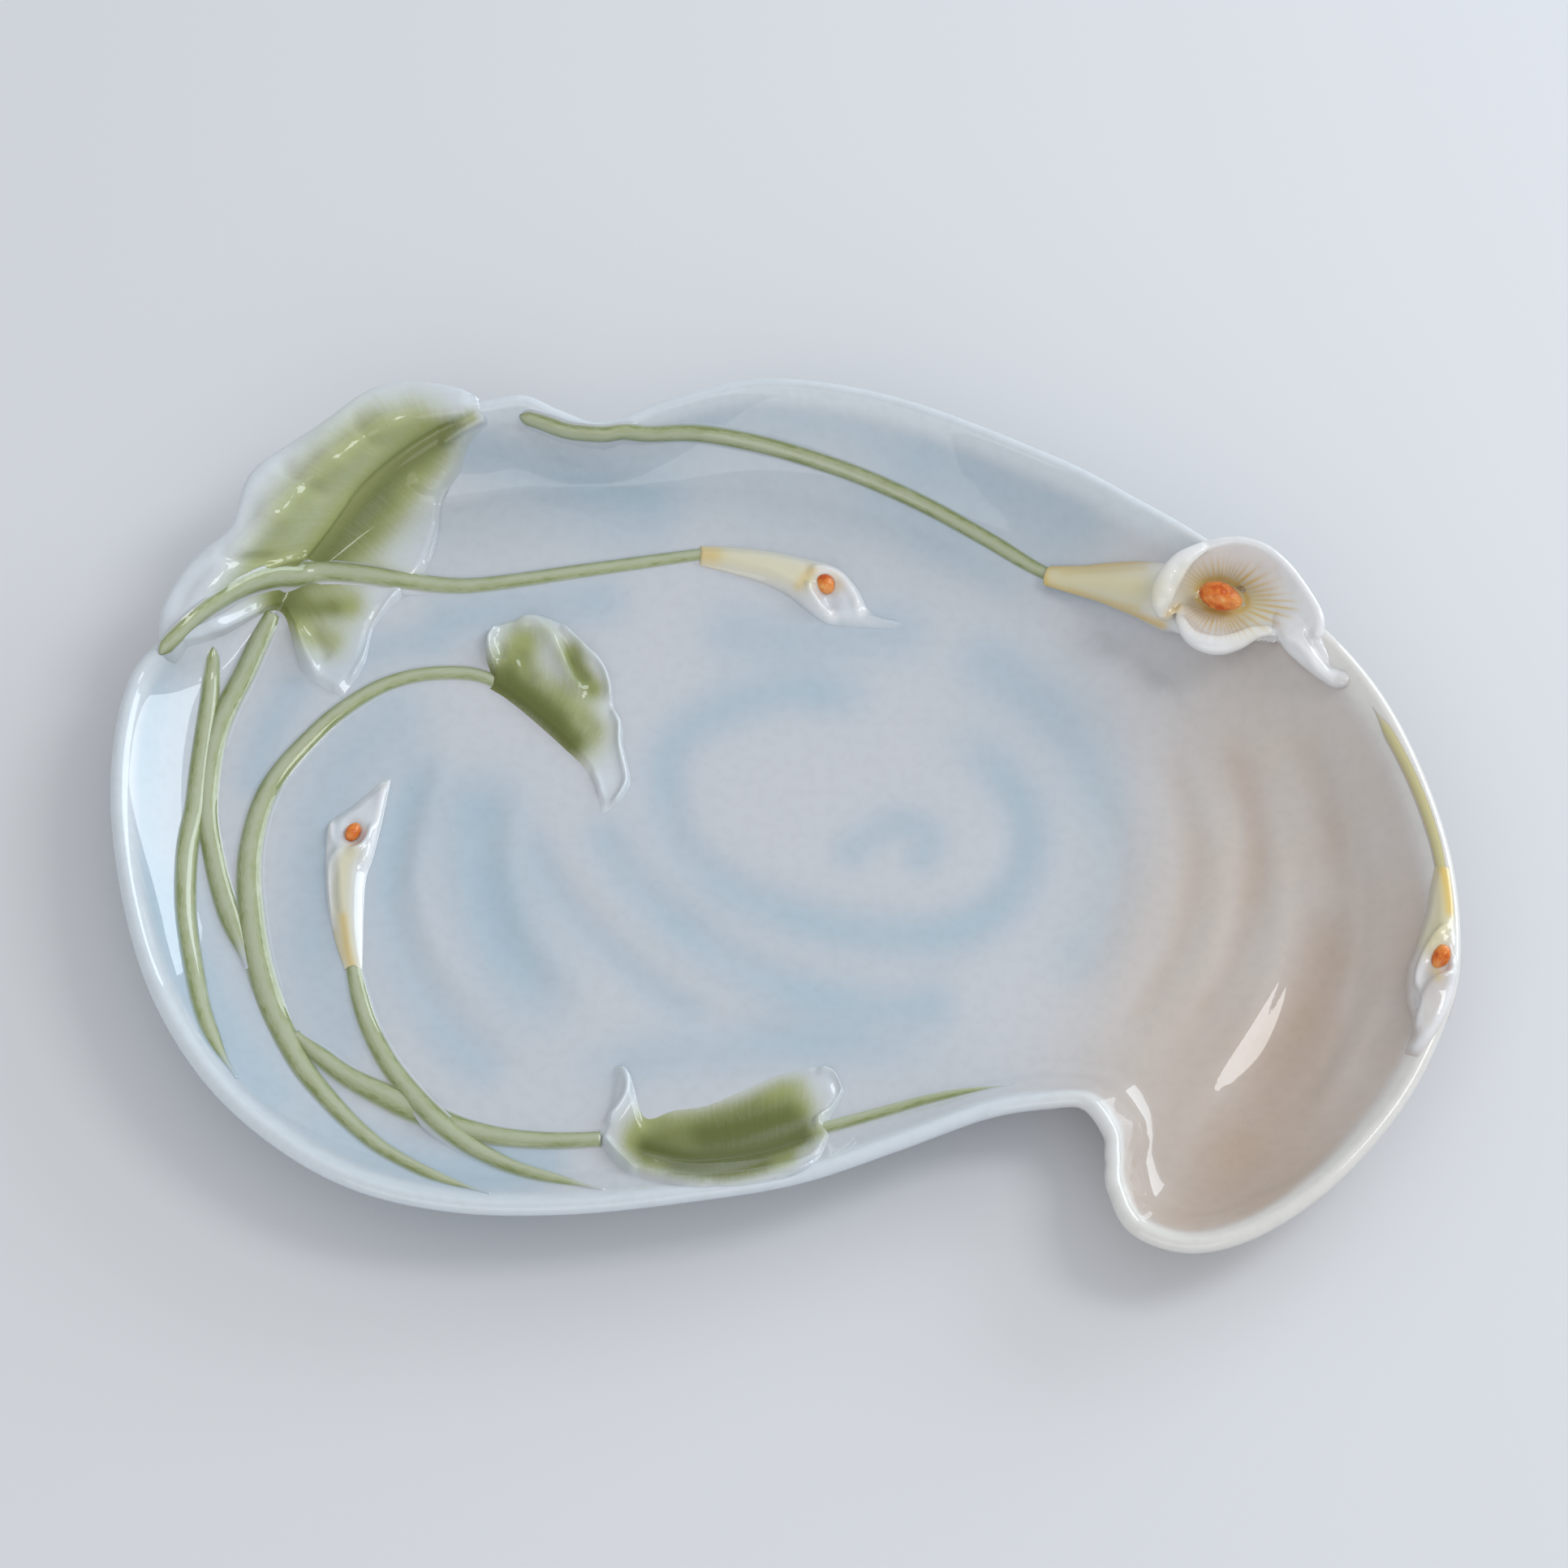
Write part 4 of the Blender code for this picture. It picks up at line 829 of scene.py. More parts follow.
class Bench:
    """Builds one material, node by node."""

    def __init__(self, name: str, finish: Finish) -> None:
        """Starts a material with the finish's constants on its shader.

        Args:
            name: the material's name.
            finish: how it takes the light.
        """
        self.material = bpy.data.materials.new(name)
        self.material.use_nodes = True
        self.tree = self.material.node_tree
        self.shader = self.tree.nodes["Principled BSDF"]
        self.finish = finish
        for socket, value in {
            "Roughness": finish.roughness,
            "Coat Weight": finish.coat,
            "Coat Roughness": finish.coat_roughness,
            "Coat IOR": 1.5,
            "Specular IOR Level": finish.specular,
            "Subsurface Weight": finish.subsurface,
            "Subsurface Scale": 0.002,
            "Metallic": 0.0,
        }.items():
            self.shader.inputs[socket].default_value = value
        self.shader.inputs["Subsurface Radius"].default_value = (1.0, 0.8, 0.6)

    def add(self, kind: str, **settings: object) -> bpy.types.Node:
        """A node of a kind, with its settings."""
        node = self.tree.nodes.new("ShaderNode" + kind)
        for name, value in settings.items():
            setattr(node, name, value)
        return node

    def feed(self, socket: bpy.types.NodeSocket, value: object) -> None:
        """Links a socket to another, or writes its value."""
        if isinstance(value, bpy.types.NodeSocket):
            self.tree.links.new(value, socket)
        else:
            socket.default_value = value

    def share(self, name: str) -> bpy.types.NodeSocket:
        """A number kept on the vertices."""
        return self.add("Attribute", attribute_name=name).outputs["Fac"]

    def sum(self, operation: str, first: object, second: object = 0.0, third: object = 0.0) -> bpy.types.NodeSocket:
        """Arithmetic on numbers."""
        node = self.add("Math", operation=operation)
        for socket, value in zip(node.inputs, (first, second, third)):
            self.feed(socket, value)
        return node.outputs[0]

    def mix(self, share: object, first: object, second: object, blend: str = "MIX") -> bpy.types.NodeSocket:
        """A colour between two, or the second laid on the first by a kind of blend."""
        node = self.add("Mix", data_type="RGBA", blend_type=blend)
        for index, value in zip((0, 6, 7), (share, first, second)):
            self.feed(node.inputs[index], value)
        return node.outputs[2]

    def ramp(self, value: object, *stops: tuple[float, object], ease: bool = True) -> bpy.types.NodeSocket:
        """A colour ramp. Each stop is a place and a colour or a grey level."""
        node = self.add("ValToRGB")
        node.color_ramp.interpolation = "EASE" if ease else "LINEAR"
        points = node.color_ramp.elements
        while len(points) < len(stops):
            points.new(0.5)
        for point, (place, colour) in zip(points, stops):
            point.position = place
            point.color = colour if isinstance(colour, tuple) else (colour, colour, colour, 1.0)
        self.feed(node.inputs["Fac"], value)
        return node.outputs["Color"]

    def noise(self, scale: float, detail: float = 2.0, stretch: tuple[float, float, float] = (1, 1, 1),
              source: str = "Object", rough: float = 0.5) -> bpy.types.NodeSocket:
        """Noise on the piece's own coordinates, in waves a metre."""
        coordinates = self.add("TexCoord").outputs[source]
        mapping = self.add("Mapping")
        self.feed(mapping.inputs["Vector"], coordinates)
        mapping.inputs["Scale"].default_value = stretch
        node = self.add("TexNoise")
        self.feed(node.inputs["Vector"], mapping.outputs["Vector"])
        for name, value in {"Scale": scale, "Detail": detail, "Roughness": rough}.items():
            node.inputs[name].default_value = value
        return node.outputs["Fac"]

    def relief(self) -> None:
        """Gives the glaze its slow waves and the bare body its grain."""
        height, chain = None, (("wave", 60.0, 1.0), ("grain", 2600.0, 3.0))
        for name, scale, detail in chain:
            depth = getattr(self.finish, name)
            if depth:
                height = self.add("Bump")
                height.inputs["Strength"].default_value = 1.0
                height.inputs["Distance"].default_value = depth
                self.feed(height.inputs["Height"], self.noise(scale, detail))
        if height is not None:
            self.feed(self.shader.inputs["Normal"], height.outputs["Normal"])
            if self.finish.coat:
                self.feed(self.shader.inputs["Coat Normal"], height.outputs["Normal"])

    def done(self, colour: object) -> bpy.types.Material:
        """The material with its colour."""
        self.feed(self.shader.inputs["Base Color"], colour)
        self.relief()
        return self.material


@dataclass(frozen=True)
class Palette:
    """The colours of the body and of the washes and enamels on it, as they look on screen."""

    porcelain: tuple = screen(205, 213, 220)
    porcelain_warm: tuple = screen(218, 217, 213)
    # a brighter white than the basin's, partly painted light on the flowers and buds
    petal: tuple = screen(227, 228, 231)
    lilac: tuple = screen(196, 199, 205)
    blue: tuple = screen(167, 186, 200)
    cream: tuple = screen(198, 190, 184)
    beige: tuple = screen(178, 155, 136)
    bare: tuple = screen(222, 219, 212)
    # the pale crown of a stalk, partly a painted highlight
    stalk_crown_and_highlight: tuple = screen(171, 178, 151)
    stalk_side: tuple = screen(159, 167, 130)
    stalk_edge: tuple = screen(126, 138, 84)
    stalk_warm: tuple = screen(202, 192, 142)
    leaf_deep: tuple = screen(84, 93, 30)
    leaf_green: tuple = screen(158, 165, 108)
    leaf_pale: tuple = screen(186, 189, 156)
    tube_yellow: tuple = screen(212, 205, 170)
    tube_ochre: tuple = screen(212, 180, 92)
    spadix: tuple = screen(218, 124, 52)
    # pale orange of the spots and tip, partly painted highlights
    spadix_pale_and_highlight: tuple = screen(232, 166, 100)
    spadix_deep: tuple = screen(192, 84, 26)


PALETTE = Palette()


class Paint:
    """The materials of the dish: one wash over the body, and enamels on each kind of piece."""

    def wash(self, bench: Bench, bright: tuple | None = None) -> bpy.types.NodeSocket:
        """The colour of the washed body, which all pieces share.

        Args:
            bench: the material that is being built.
            bright: the colour of its white clay, where that isn't the basin's; on the petals a brighter white, partly
                painted light.

        Returns:
            The colour, from the shares kept on the vertices.
        """
        cloud = bench.ramp(bench.noise(38.0, 3.0), (0.30, 0.72), (0.70, 1.0))
        speck = bench.noise(420.0, 2.0)
        white = bench.share("white")
        plain = bright or bench.mix(bench.share(Wash.CREAM.value), PALETTE.porcelain, PALETTE.porcelain_warm)
        body = bench.mix(white, PALETTE.lilac, plain)
        amount = bench.sum("MULTIPLY", bench.share(Wash.BLUE.value), cloud)
        amount = bench.sum("MULTIPLY", amount, bench.sum("SUBTRACT", 1.0, white))
        body = bench.mix(amount, body, PALETTE.blue)
        for wash, colour in ((Wash.CREAM, PALETTE.cream), (Wash.BEIGE, PALETTE.beige)):
            amount = bench.sum("MULTIPLY", bench.share(wash.value), bench.sum("SUBTRACT", 1.0, white))
            body = bench.mix(bench.sum("MULTIPLY", amount, cloud), body, colour)
        return bench.mix(1.0, body, bench.ramp(speck, (0.30, 0.965), (0.60, 1.0)), "MULTIPLY")

    def basin(self) -> bpy.types.Material:
        """Glazed porcelain with its washes."""
        bench = Bench("basin_glaze", GLAZED)
        return bench.done(self.wash(bench))

    def bare(self) -> bpy.types.Material:
        """Unglazed porcelain, a little stained where it stands."""
        bench = Bench("bare_porcelain", BARE)
        stain = bench.ramp(bench.noise(160.0, 4.0), (0.35, screen(206, 200, 190)), (0.65, PALETTE.bare))
        return bench.done(stain)

    def stalk(self) -> bpy.types.Material:
        """Green enamel, paler on the crown of a stalk, partly as a painted highlight, and pooled darker along its
        sides.
        """
        bench = Bench("stalk_glaze", GLAZED)
        streak = bench.noise(1.0, 2.0, (26.0, 1.6, 1.0), "UV")
        pool = bench.noise(1.0, 2.0, (2.4, 0.45, 1.0), "UV")
        across = bench.sum("MULTIPLY_ADD", bench.sum("SUBTRACT", streak, 0.5), 0.75, bench.share("side"))
        across = bench.sum("MULTIPLY_ADD", bench.sum("SUBTRACT", pool, 0.5), 1.1, across)
        # paler at the crown, partly a painted highlight, and darker towards the sides
        green = bench.ramp(across, (0.10, PALETTE.stalk_crown_and_highlight), (0.55, PALETTE.stalk_side),
                           (0.98, PALETTE.stalk_edge))
        green = bench.mix(bench.share("warm"), green, PALETTE.stalk_warm)
        return bench.done(bench.mix(bench.share("enamel"), self.wash(bench), green))

    def enamels(self, bench: Bench, streak: object, bright: tuple | None = None) -> bpy.types.NodeSocket:
        """Green, yellow, ochre and white brushed over the washed body.

        Args:
            bench: the material that is being built.
            streak: marks of the brush's hairs, about 0.5.
            bright: the colour of its white clay, where that isn't the basin's; on the petals a brighter white, partly
                painted light.

        Returns:
            The colour.
        """
        stipple = bench.sum("SUBTRACT", bench.noise(1500.0, 2.0), 0.5)
        hairs = bench.sum("MULTIPLY", stipple, 0.25)
        hairs = bench.sum("MULTIPLY_ADD", bench.sum("SUBTRACT", streak, 0.5), 0.50, hairs)

        def loaded(name: str, grip: float = 1.0) -> bpy.types.NodeSocket:
            amount = bench.share(name)
            ends = bench.sum("MULTIPLY", amount, bench.sum("SUBTRACT", 1.10, amount))
            return bench.sum("MULTIPLY_ADD", bench.sum("MULTIPLY", hairs, ends), 1.6 * grip, amount)

        colour = self.wash(bench, bright)
        green = loaded("green")
        tint = bench.ramp(green, (0.10, PALETTE.leaf_pale), (0.85, PALETTE.leaf_green))
        tint = bench.mix(loaded("deep", 0.6), tint, PALETTE.leaf_deep)
        colour = bench.mix(bench.ramp(green, (0.02, 0.0), (0.95, 1.0), ease=False), colour, tint)
        colour = bench.mix(loaded("yellow", 0.5), colour, PALETTE.tube_yellow)
        return bench.mix(loaded("ochre", 0.8), colour, PALETTE.tube_ochre)

    def leaf(self) -> bpy.types.Material:
        """Green brushed out from the rib over white porcelain."""
        bench = Bench("leaf_glaze", GLAZED)
        return bench.done(self.enamels(bench, bench.noise(1.0, 3.0, (5.0, 90.0, 1.0), "UV")))

    def petal(self) -> bpy.types.Material:
        """White porcelain, brightened partly as painted light on the flowers, yellow along the tube and in the throat.
        """
        bench = Bench("petal_glaze", GLAZED)
        return bench.done(self.enamels(bench, bench.noise(1.0, 3.0, (40.0, 4.0, 1.0), "UV"), PALETTE.petal))

    def spadix(self) -> bpy.types.Material:
        """Mottled orange with pale spots, paler at its tip; the pale spots and tip are partly painted highlights."""
        bench = Bench("spadix_glaze", KNOB)
        mottle = bench.noise(520.0, 3.0)
        colour = bench.ramp(mottle, (0.34, PALETTE.spadix_deep), (0.54, PALETTE.spadix), (0.80, PALETTE.spadix_pale_and_highlight))
        # the paler tip is partly a painted highlight
        pale = bench.ramp(bench.share("tip"), (0.62, 0.0), (0.98, 0.60))
        return bench.done(bench.mix(pale, colour, PALETTE.spadix_pale_and_highlight))


# ---------------------------------------------------------------- shell and foot


@dataclass
class Shell:
    """The cast shell: inside with its ripples, rolled lip, outer wall and underside."""

    basin: Basin
    ripple_fade: tuple[float, float] = (0.25, 0.80)
    flower_seat: Stroke = Stroke((1492, 722, 1525, 711, 1562, 722, 1592, 750), 23, 0.0050, 0.0)
    # how white the lip is, and how much of that is lost on the outside after a few rings of it, so that the outer wall
    # turns lilac and blue as painted shade from a dark surface under the dish
    white_lip: tuple[float, float] = (0.80, 0.97)
    lip_whiteness: float = 0.92
    outer_painted_shade: float = 0.57
    lip_turn: int = 5
    under_shares: tuple[float, ...] = (0.8, 0.55, 0.3, 0.0)

    def rippled(self, ring: Array, fade: float) -> Array:
        """A ring of the inside, with the ripples pressed into it."""
        out = ring.copy()
        seen = SIGHT.pixels(ring)
        out[:, 2] += fade * total(RIPPLES, seen) + total(WALL_FOLDS, seen)
        return out

    def inside(self) -> list[Array]:
        """The rings of the inside, rippled, up to the start of the lip."""
        basin = self.basin
        floor = [self.rippled(basin.floor_ring(s), 1.0) for s in np.linspace(0, 1, basin.floor_rings + 1)]
        wall = []
        for share in np.linspace(0, 1, basin.wall_rings + 1)[1:]:
            fade = 1 - float(soft_step(share, *self.ripple_fade))
            wall.append(self.rippled(basin.wall_ring(share * basin.below_lip()), fade))
        return floor + wall

    def lip(self) -> list[Array]:
        """The rings of the rolled lip, from inside to outside."""
        edge, up_wall, square = self.basin.lip_frame()
        half = self.basin.wall / 2
        middle = edge - half * up_wall - half * square
        turns = np.linspace(0, math.pi, self.basin.lip_rings + 1)[1:]
        return [middle + half * (math.cos(turn) * square + math.sin(turn) * up_wall) for turn in turns]

    def under_pieces(self) -> list[Array]:
        """Rings for casting: the inside, half the lip and a level flange, for what reaches over."""
        half = self.lip()[: self.basin.lip_rings // 2 + 1]
        flat = self.basin.inwards(half[-1][:, 0:2], -self.basin.flange)
        return self.inside() + half + [np.column_stack([flat, half[-1][:, 2]])]

    def outside(self) -> list[Array]:
        """The rings of the outer wall and the underside, a wall's thickness from the inside."""
        basin = self.basin
        out = []
        for share in np.linspace(0.9, 0.0, basin.outer_rings):
            out.append(self.offset(basin.wall_ring(share), basin.wall_ring(share + basin.wall_step)))
        for share in self.under_shares:
            ring = basin.floor_ring(share)
            out.append(ring - np.array([0.0, 0.0, basin.wall]))
        return out

    def offset(self, ring: Array, higher: Array) -> Array:
        """A ring moved out through the wall, square to it."""
        return ring - self.basin.wall * upward(unit(np.cross(ring_ahead(ring), unit(higher - ring))))

    def build(self, paint: Paint) -> bpy.types.Object:
        """The finished shell."""
        rings = self.inside() + self.lip() + self.outside()
        stack = np.array(rings)
        stack[..., 2] -= self.flower_seat.touch(SIGHT.pixels(stack.reshape(-1, 3))).reshape(stack.shape[:2])
        thing = sheet_on("glazed_shell", stack, looped=True)
        row = np.round(sheet_shares(thing)[1] * (len(rings) - 1))
        white = soft_step((row - self.basin.floor_rings) / self.basin.wall_rings, *self.white_lip)
        over = row - len(self.inside())
        # past the lip's turn the outer wall loses whiteness, and the washes that show there are painted shade
        outer = self.lip_whiteness - self.outer_painted_shade * soft_step(over, self.lip_turn, self.basin.lip_rings)
        white = np.where(over >= 0, outer, white)
        keep_shares(thing, white=white, **Washes.shares(points_of(thing)))
        weld(thing, closed=True)
        finish_piece(thing, "basin_glaze", paint.basin(), "dish_shell")
        return thing


@dataclass
class FootRing:
    """The ring that the dish stands on, with the rounded edge of a wiped foot."""

    basin: Basin
    steps: int = 240
    # inwards from the outside and up from the table, in metres
    profile: Rows = (
        (0.0, 0.0050), (0.0, 0.0030), (0.0, 0.0011), (0.0002, 0.0005), (0.0006, 0.00012), (0.0011, 0.0),
        (0.0034, 0.0), (0.0039, 0.00012), (0.0043, 0.0005), (0.0045, 0.0011), (0.0045, 0.0030),
        (0.0045, 0.0050), (0.0030, 0.0050), (0.0015, 0.0050),
    )
    shares: Rows = (
        (-0.387, 0.060), (-0.332, 0.250), (-0.198, 0.351), (-0.020, 0.354), (0.119, 0.297),
        (0.223, 0.193), (0.308, 0.070), (0.345, -0.028), (0.355, -0.117), (0.350, -0.196),
        (0.325, -0.250), (0.283, -0.255), (0.238, -0.220), (0.179, -0.210), (0.079, -0.250),
        (-0.030, -0.292), (-0.159, -0.312), (-0.288, -0.250), (-0.367, -0.117),
    )

    def build(self, paint: Paint) -> bpy.types.Object:
        """The finished ring."""
        places = np.linspace(0, len(self.shares), self.steps + 1)[:-1]
        outline = smooth_rows(self.shares, places, closed=True) * (self.basin.length, self.basin.width)
        rings = [
            np.column_stack([self.basin.inwards(outline, inset), np.full(self.steps, level)])
            for inset, level in self.profile
        ]
        thing = sheet_on("wiped_foot_ring", np.array(rings + rings[:1]), looped=True)
        weld(thing, closed=True)
        finish_piece(thing, "bare_porcelain", paint.bare(), "foot_ring")
        return thing


# ---------------------------------------------------------------- stalks


@dataclass
class Stalk:
    """A half-round coil of clay laid along a path and smoothed down at its sides.

    Attributes:
        node: the solid that it stands for.
        path: its middle line, in pixels, across and down in turn.
        radius: half its width.
        height: how far its crown stands above the ground.
        warm: how yellow its enamel is.
        start, end: the share of its width that it starts and ends with.
        swell: its width along its length, as shares of the whole.
        rounded: whether its start is rounded off, over cap_run.
        lift: how high above the ground its path is seen, in heights.
        spacing, easing: of the points along it, and how often their kinks are eased.
        most_dip: how far easing may lower it.
        sink, body: how far its sides go into the basin, and how deep its clay goes.
        flank, skirt: from where across it, in radii, it lies on the basin and goes into it.
        enamelled: where across it the green ends, in radii.
        pattern: the length of one round of its pattern.
        start_run, end_run: over which its ends grow to their full width.
        pointed: the share of its width below which an end has no green, which grows over green_runs.
    """

    node: str
    path: tuple[float, ...]
    radius: float = 0.00172
    height: float = 0.00105
    warm: float = 0.0
    start: float = 0.55
    end: float = 0.35
    swell: tuple[float, ...] = (1.0, 1.0)
    rounded: bool = False
    lift: float = 0.6
    spacing: float = 0.0006
    easing: int = 16
    most_dip: float = 0.0002
    sink: float = 0.00035
    body: float = 0.0006
    flank: float = 1.4
    skirt: float = 1.7
    enamelled: tuple[float, float] = (0.85, 1.30)
    pattern: float = 0.003
    start_run: float = 0.008
    end_run: float = 0.014
    cap_run: float = 0.0018
    pointed: float = 0.4
    green_runs: tuple[float, float] = (0.006, 0.008)
    # across the coil in radii, and how high there in heights
    section: Rows = (
        (-1.75, -9.0), (-1.45, 0.0), (-1.28, 0.05), (-1.12, 0.15), (-0.98, 0.32), (-0.84, 0.52), (-0.68, 0.71),
        (-0.50, 0.86), (-0.32, 0.95), (-0.15, 0.99), (0.0, 1.0), (0.15, 0.99), (0.32, 0.95), (0.50, 0.86),
        (0.68, 0.71), (0.84, 0.52), (0.98, 0.32), (1.12, 0.15), (1.28, 0.05), (1.45, 0.0), (1.75, -9.0),
    )

    def build(self, bed: Ground, material: bpy.types.Material, over: Ground | None = None) -> bpy.types.Object:
        """The finished stalk.

        Args:
            bed: the basin that it lies on.
            material: its enamel.
            over: the basin with the pieces that it climbs over.

        Returns:
            The piece.
        """
        ground = over or bed
        middle = ground.seen(evenly(pairs(self.path), 60), self.height * self.lift)[:, 0:2]
        run = np.linalg.norm(np.diff(middle, axis=0), axis=1).sum()
        count = max(int(run / self.spacing), 12)
        middle = by_length(eased(by_length(middle, count + 1), self.easing), count + 1)
        line = ground.place(middle)
        level = eased(line[:, 2], 3 * self.easing if over else self.easing)
        line[:, 2] = eased(np.maximum(level, line[:, 2] - self.most_dip), self.easing // 4)
        facing = unit(eased(bed.square(middle), self.easing))
        ahead = unit(np.gradient(line, axis=0))
        side = unit(np.cross(ahead, facing))
        share = np.linspace(0, 1, count + 1)
        ends = self.taper(share, run)
        section = np.array(self.section)

        def place(first: Array, second: Array) -> Array:
            i = np.round(second * count).astype(int)
            j = np.round(first * (len(section) - 1)).astype(int)
            offset = section[j, 0] * self.radius * ends[i]
            spots = line[i] + offset[:, None] * side[i]
            rise = section[j, 1] * self.height * np.minimum(ends[i], 1.1)
            points = spots + rise[:, None] * facing[i]
            low = np.abs(section[j, 0]) > self.flank
            base = bed.place(spots[:, 0:2])
            sunk = np.where(np.abs(section[j, 0]) > self.skirt, -self.sink, 0.0)
            points[low] = (base + sunk[:, None] * facing[i])[low]
            return points

        thing = sheet(self.node.replace("_", "-") + "-coil", len(section) - 1, count, place)
        first, along = sheet_shares(thing)
        side_share = np.abs(section[np.round(first * (len(section) - 1)).astype(int), 0])
        enamel = (1 - soft_step(side_share, *self.enamelled)) * self.enamel_along(along, run)
        keep_shares(thing, side=side_share, enamel=enamel, white=np.zeros(len(along)),
                    warm=np.full(len(along), self.warm), **Washes.shares(points_of(thing)))
        lengthen_uv(thing, run / self.pattern)
        weld(thing, closed=False)
        thicken(thing, self.body)
        finish_piece(thing, "stalk_glaze", material, self.node)
        return thing

    def taper(self, share: Array, run: float) -> Array:
        """How full the coil is along its length, with rounded or pointed ends."""
        begin = self.start + (1 - self.start) * soft_step(share * run, 0.0, self.start_run)
        stop = self.end + (1 - self.end) * soft_step((1 - share) * run, 0.0, self.end_run)
        swell = np.interp(share, np.linspace(0, 1, len(self.swell)), self.swell)
        cap = np.sqrt(np.clip(share * run / self.cap_run, 0.02, 1.0)) if self.rounded else 1.0
        return begin * stop * cap * eased(swell, 12)

    def enamel_along(self, share: Array, run: float) -> Array:
        """How strong the green is along the coil: it fades out where the coil does."""
        begin = 1.0 if self.start > self.pointed else soft_step(share * run, 0.0, self.green_runs[0])
        stop = 1.0 if self.end > self.pointed else soft_step((1 - share) * run, 0.0, self.green_runs[1])
        return begin * stop * np.ones(len(share))


STALKS = (
    Stalk("rim_flower_stem", (640, 510, 668, 517, 700, 530, 735, 534, 780, 533, 850, 530, 900, 537, 950, 548, 1000,
        563, 1050, 580, 1100, 601, 1150, 625, 1190, 647, 1230, 670, 1260, 689, 1287, 704, 1300, 709), start=0.85,
        end=0.85, swell=(1.05, 1.0, 0.95, 0.9, 0.85, 0.8), rounded=True),
    Stalk("left_stem_outer", (262, 795, 259, 850, 252, 900, 245, 950, 240, 997, 231, 1038, 228, 1085, 229, 1130, 238,
        1190, 249, 1244, 268, 1290, 292, 1327), start=0.9, end=0.2, swell=(1.0, 1.1, 1.2, 1.15, 1.0), rounded=True),
    Stalk("left_stem_inner", (335, 755, 318, 790, 300, 830, 280, 868, 266, 905, 258, 950, 255, 1003, 262, 1050, 274,
        1100, 288, 1142, 306, 1192), start=0.9, end=0.35, swell=(1.1, 1.2, 1.1, 1.1, 1.2)),
    Stalk("curled_leaf_stalk", (614, 840, 600, 833, 580, 828, 560, 827, 530, 828, 500, 833, 468, 844, 440, 860, 408,
        883, 380, 910, 352, 940, 330, 972, 317, 1005, 309, 1040, 306, 1070, 307, 1105, 315, 1170, 335, 1240, 370, 1310,
        395, 1342, 420, 1370, 450, 1398, 480, 1420, 540, 1450, 605, 1469), start=0.9, end=0.2, swell=(0.85, 0.9, 1.0,
        1.15, 1.35, 1.35, 1.2, 1.05, 0.9)),
    Stalk("front_leaf_stalk", (362, 1272, 380, 1288, 420, 1320, 450, 1337, 480, 1351, 520, 1370, 560, 1386, 590, 1394,
        620, 1400, 680, 1404, 740, 1402), start=0.6, end=0.9, swell=(0.9, 1.1, 1.55, 1.2, 1.0, 1.0)),
    Stalk("front_leaf_far_stalk", (1000, 1393, 1030, 1385, 1060, 1377, 1100, 1366, 1140, 1355, 1180, 1346, 1215, 1339,
        1250, 1334), radius=0.00135, start=0.9, end=0.15, swell=(1.35, 1.2, 1.0, 0.8)),
    Stalk("side_bud_stem", (1692, 870, 1706, 893, 1722, 920, 1742, 960, 1758, 1000, 1770, 1038, 1778, 1078),
        radius=0.00095, height=0.0006, start=0.1, end=0.95, warm=0.85),
)
CENTRE_BUD_STEM = Stalk("centre_bud_stem", (196, 804, 212, 785, 230, 766, 250, 750, 270, 736, 290, 724, 310, 715, 330,
    708, 350, 704, 375, 702, 400, 702, 450, 706, 500, 714, 540, 719, 580, 720, 640, 713, 700, 704, 750, 697, 800, 690,
    835, 685, 866, 681), start=0.9, end=0.95, swell=(0.9, 1.05, 1.25, 1.3, 1.1, 0.95, 0.9, 0.85, 0.8), rounded=True)
LEFT_BUD_STEM = Stalk("left_bud_stem", (435, 1190, 441, 1220, 450, 1252, 463, 1282, 480, 1312, 500, 1338, 520, 1360,
    545, 1384, 570, 1405, 603, 1424, 640, 1440, 690, 1453, 745, 1464), start=0.9, end=0.2, swell=(0.85, 1.0, 1.15, 1.1,
    1.0))


# ---------------------------------------------------------------- leaves and buds


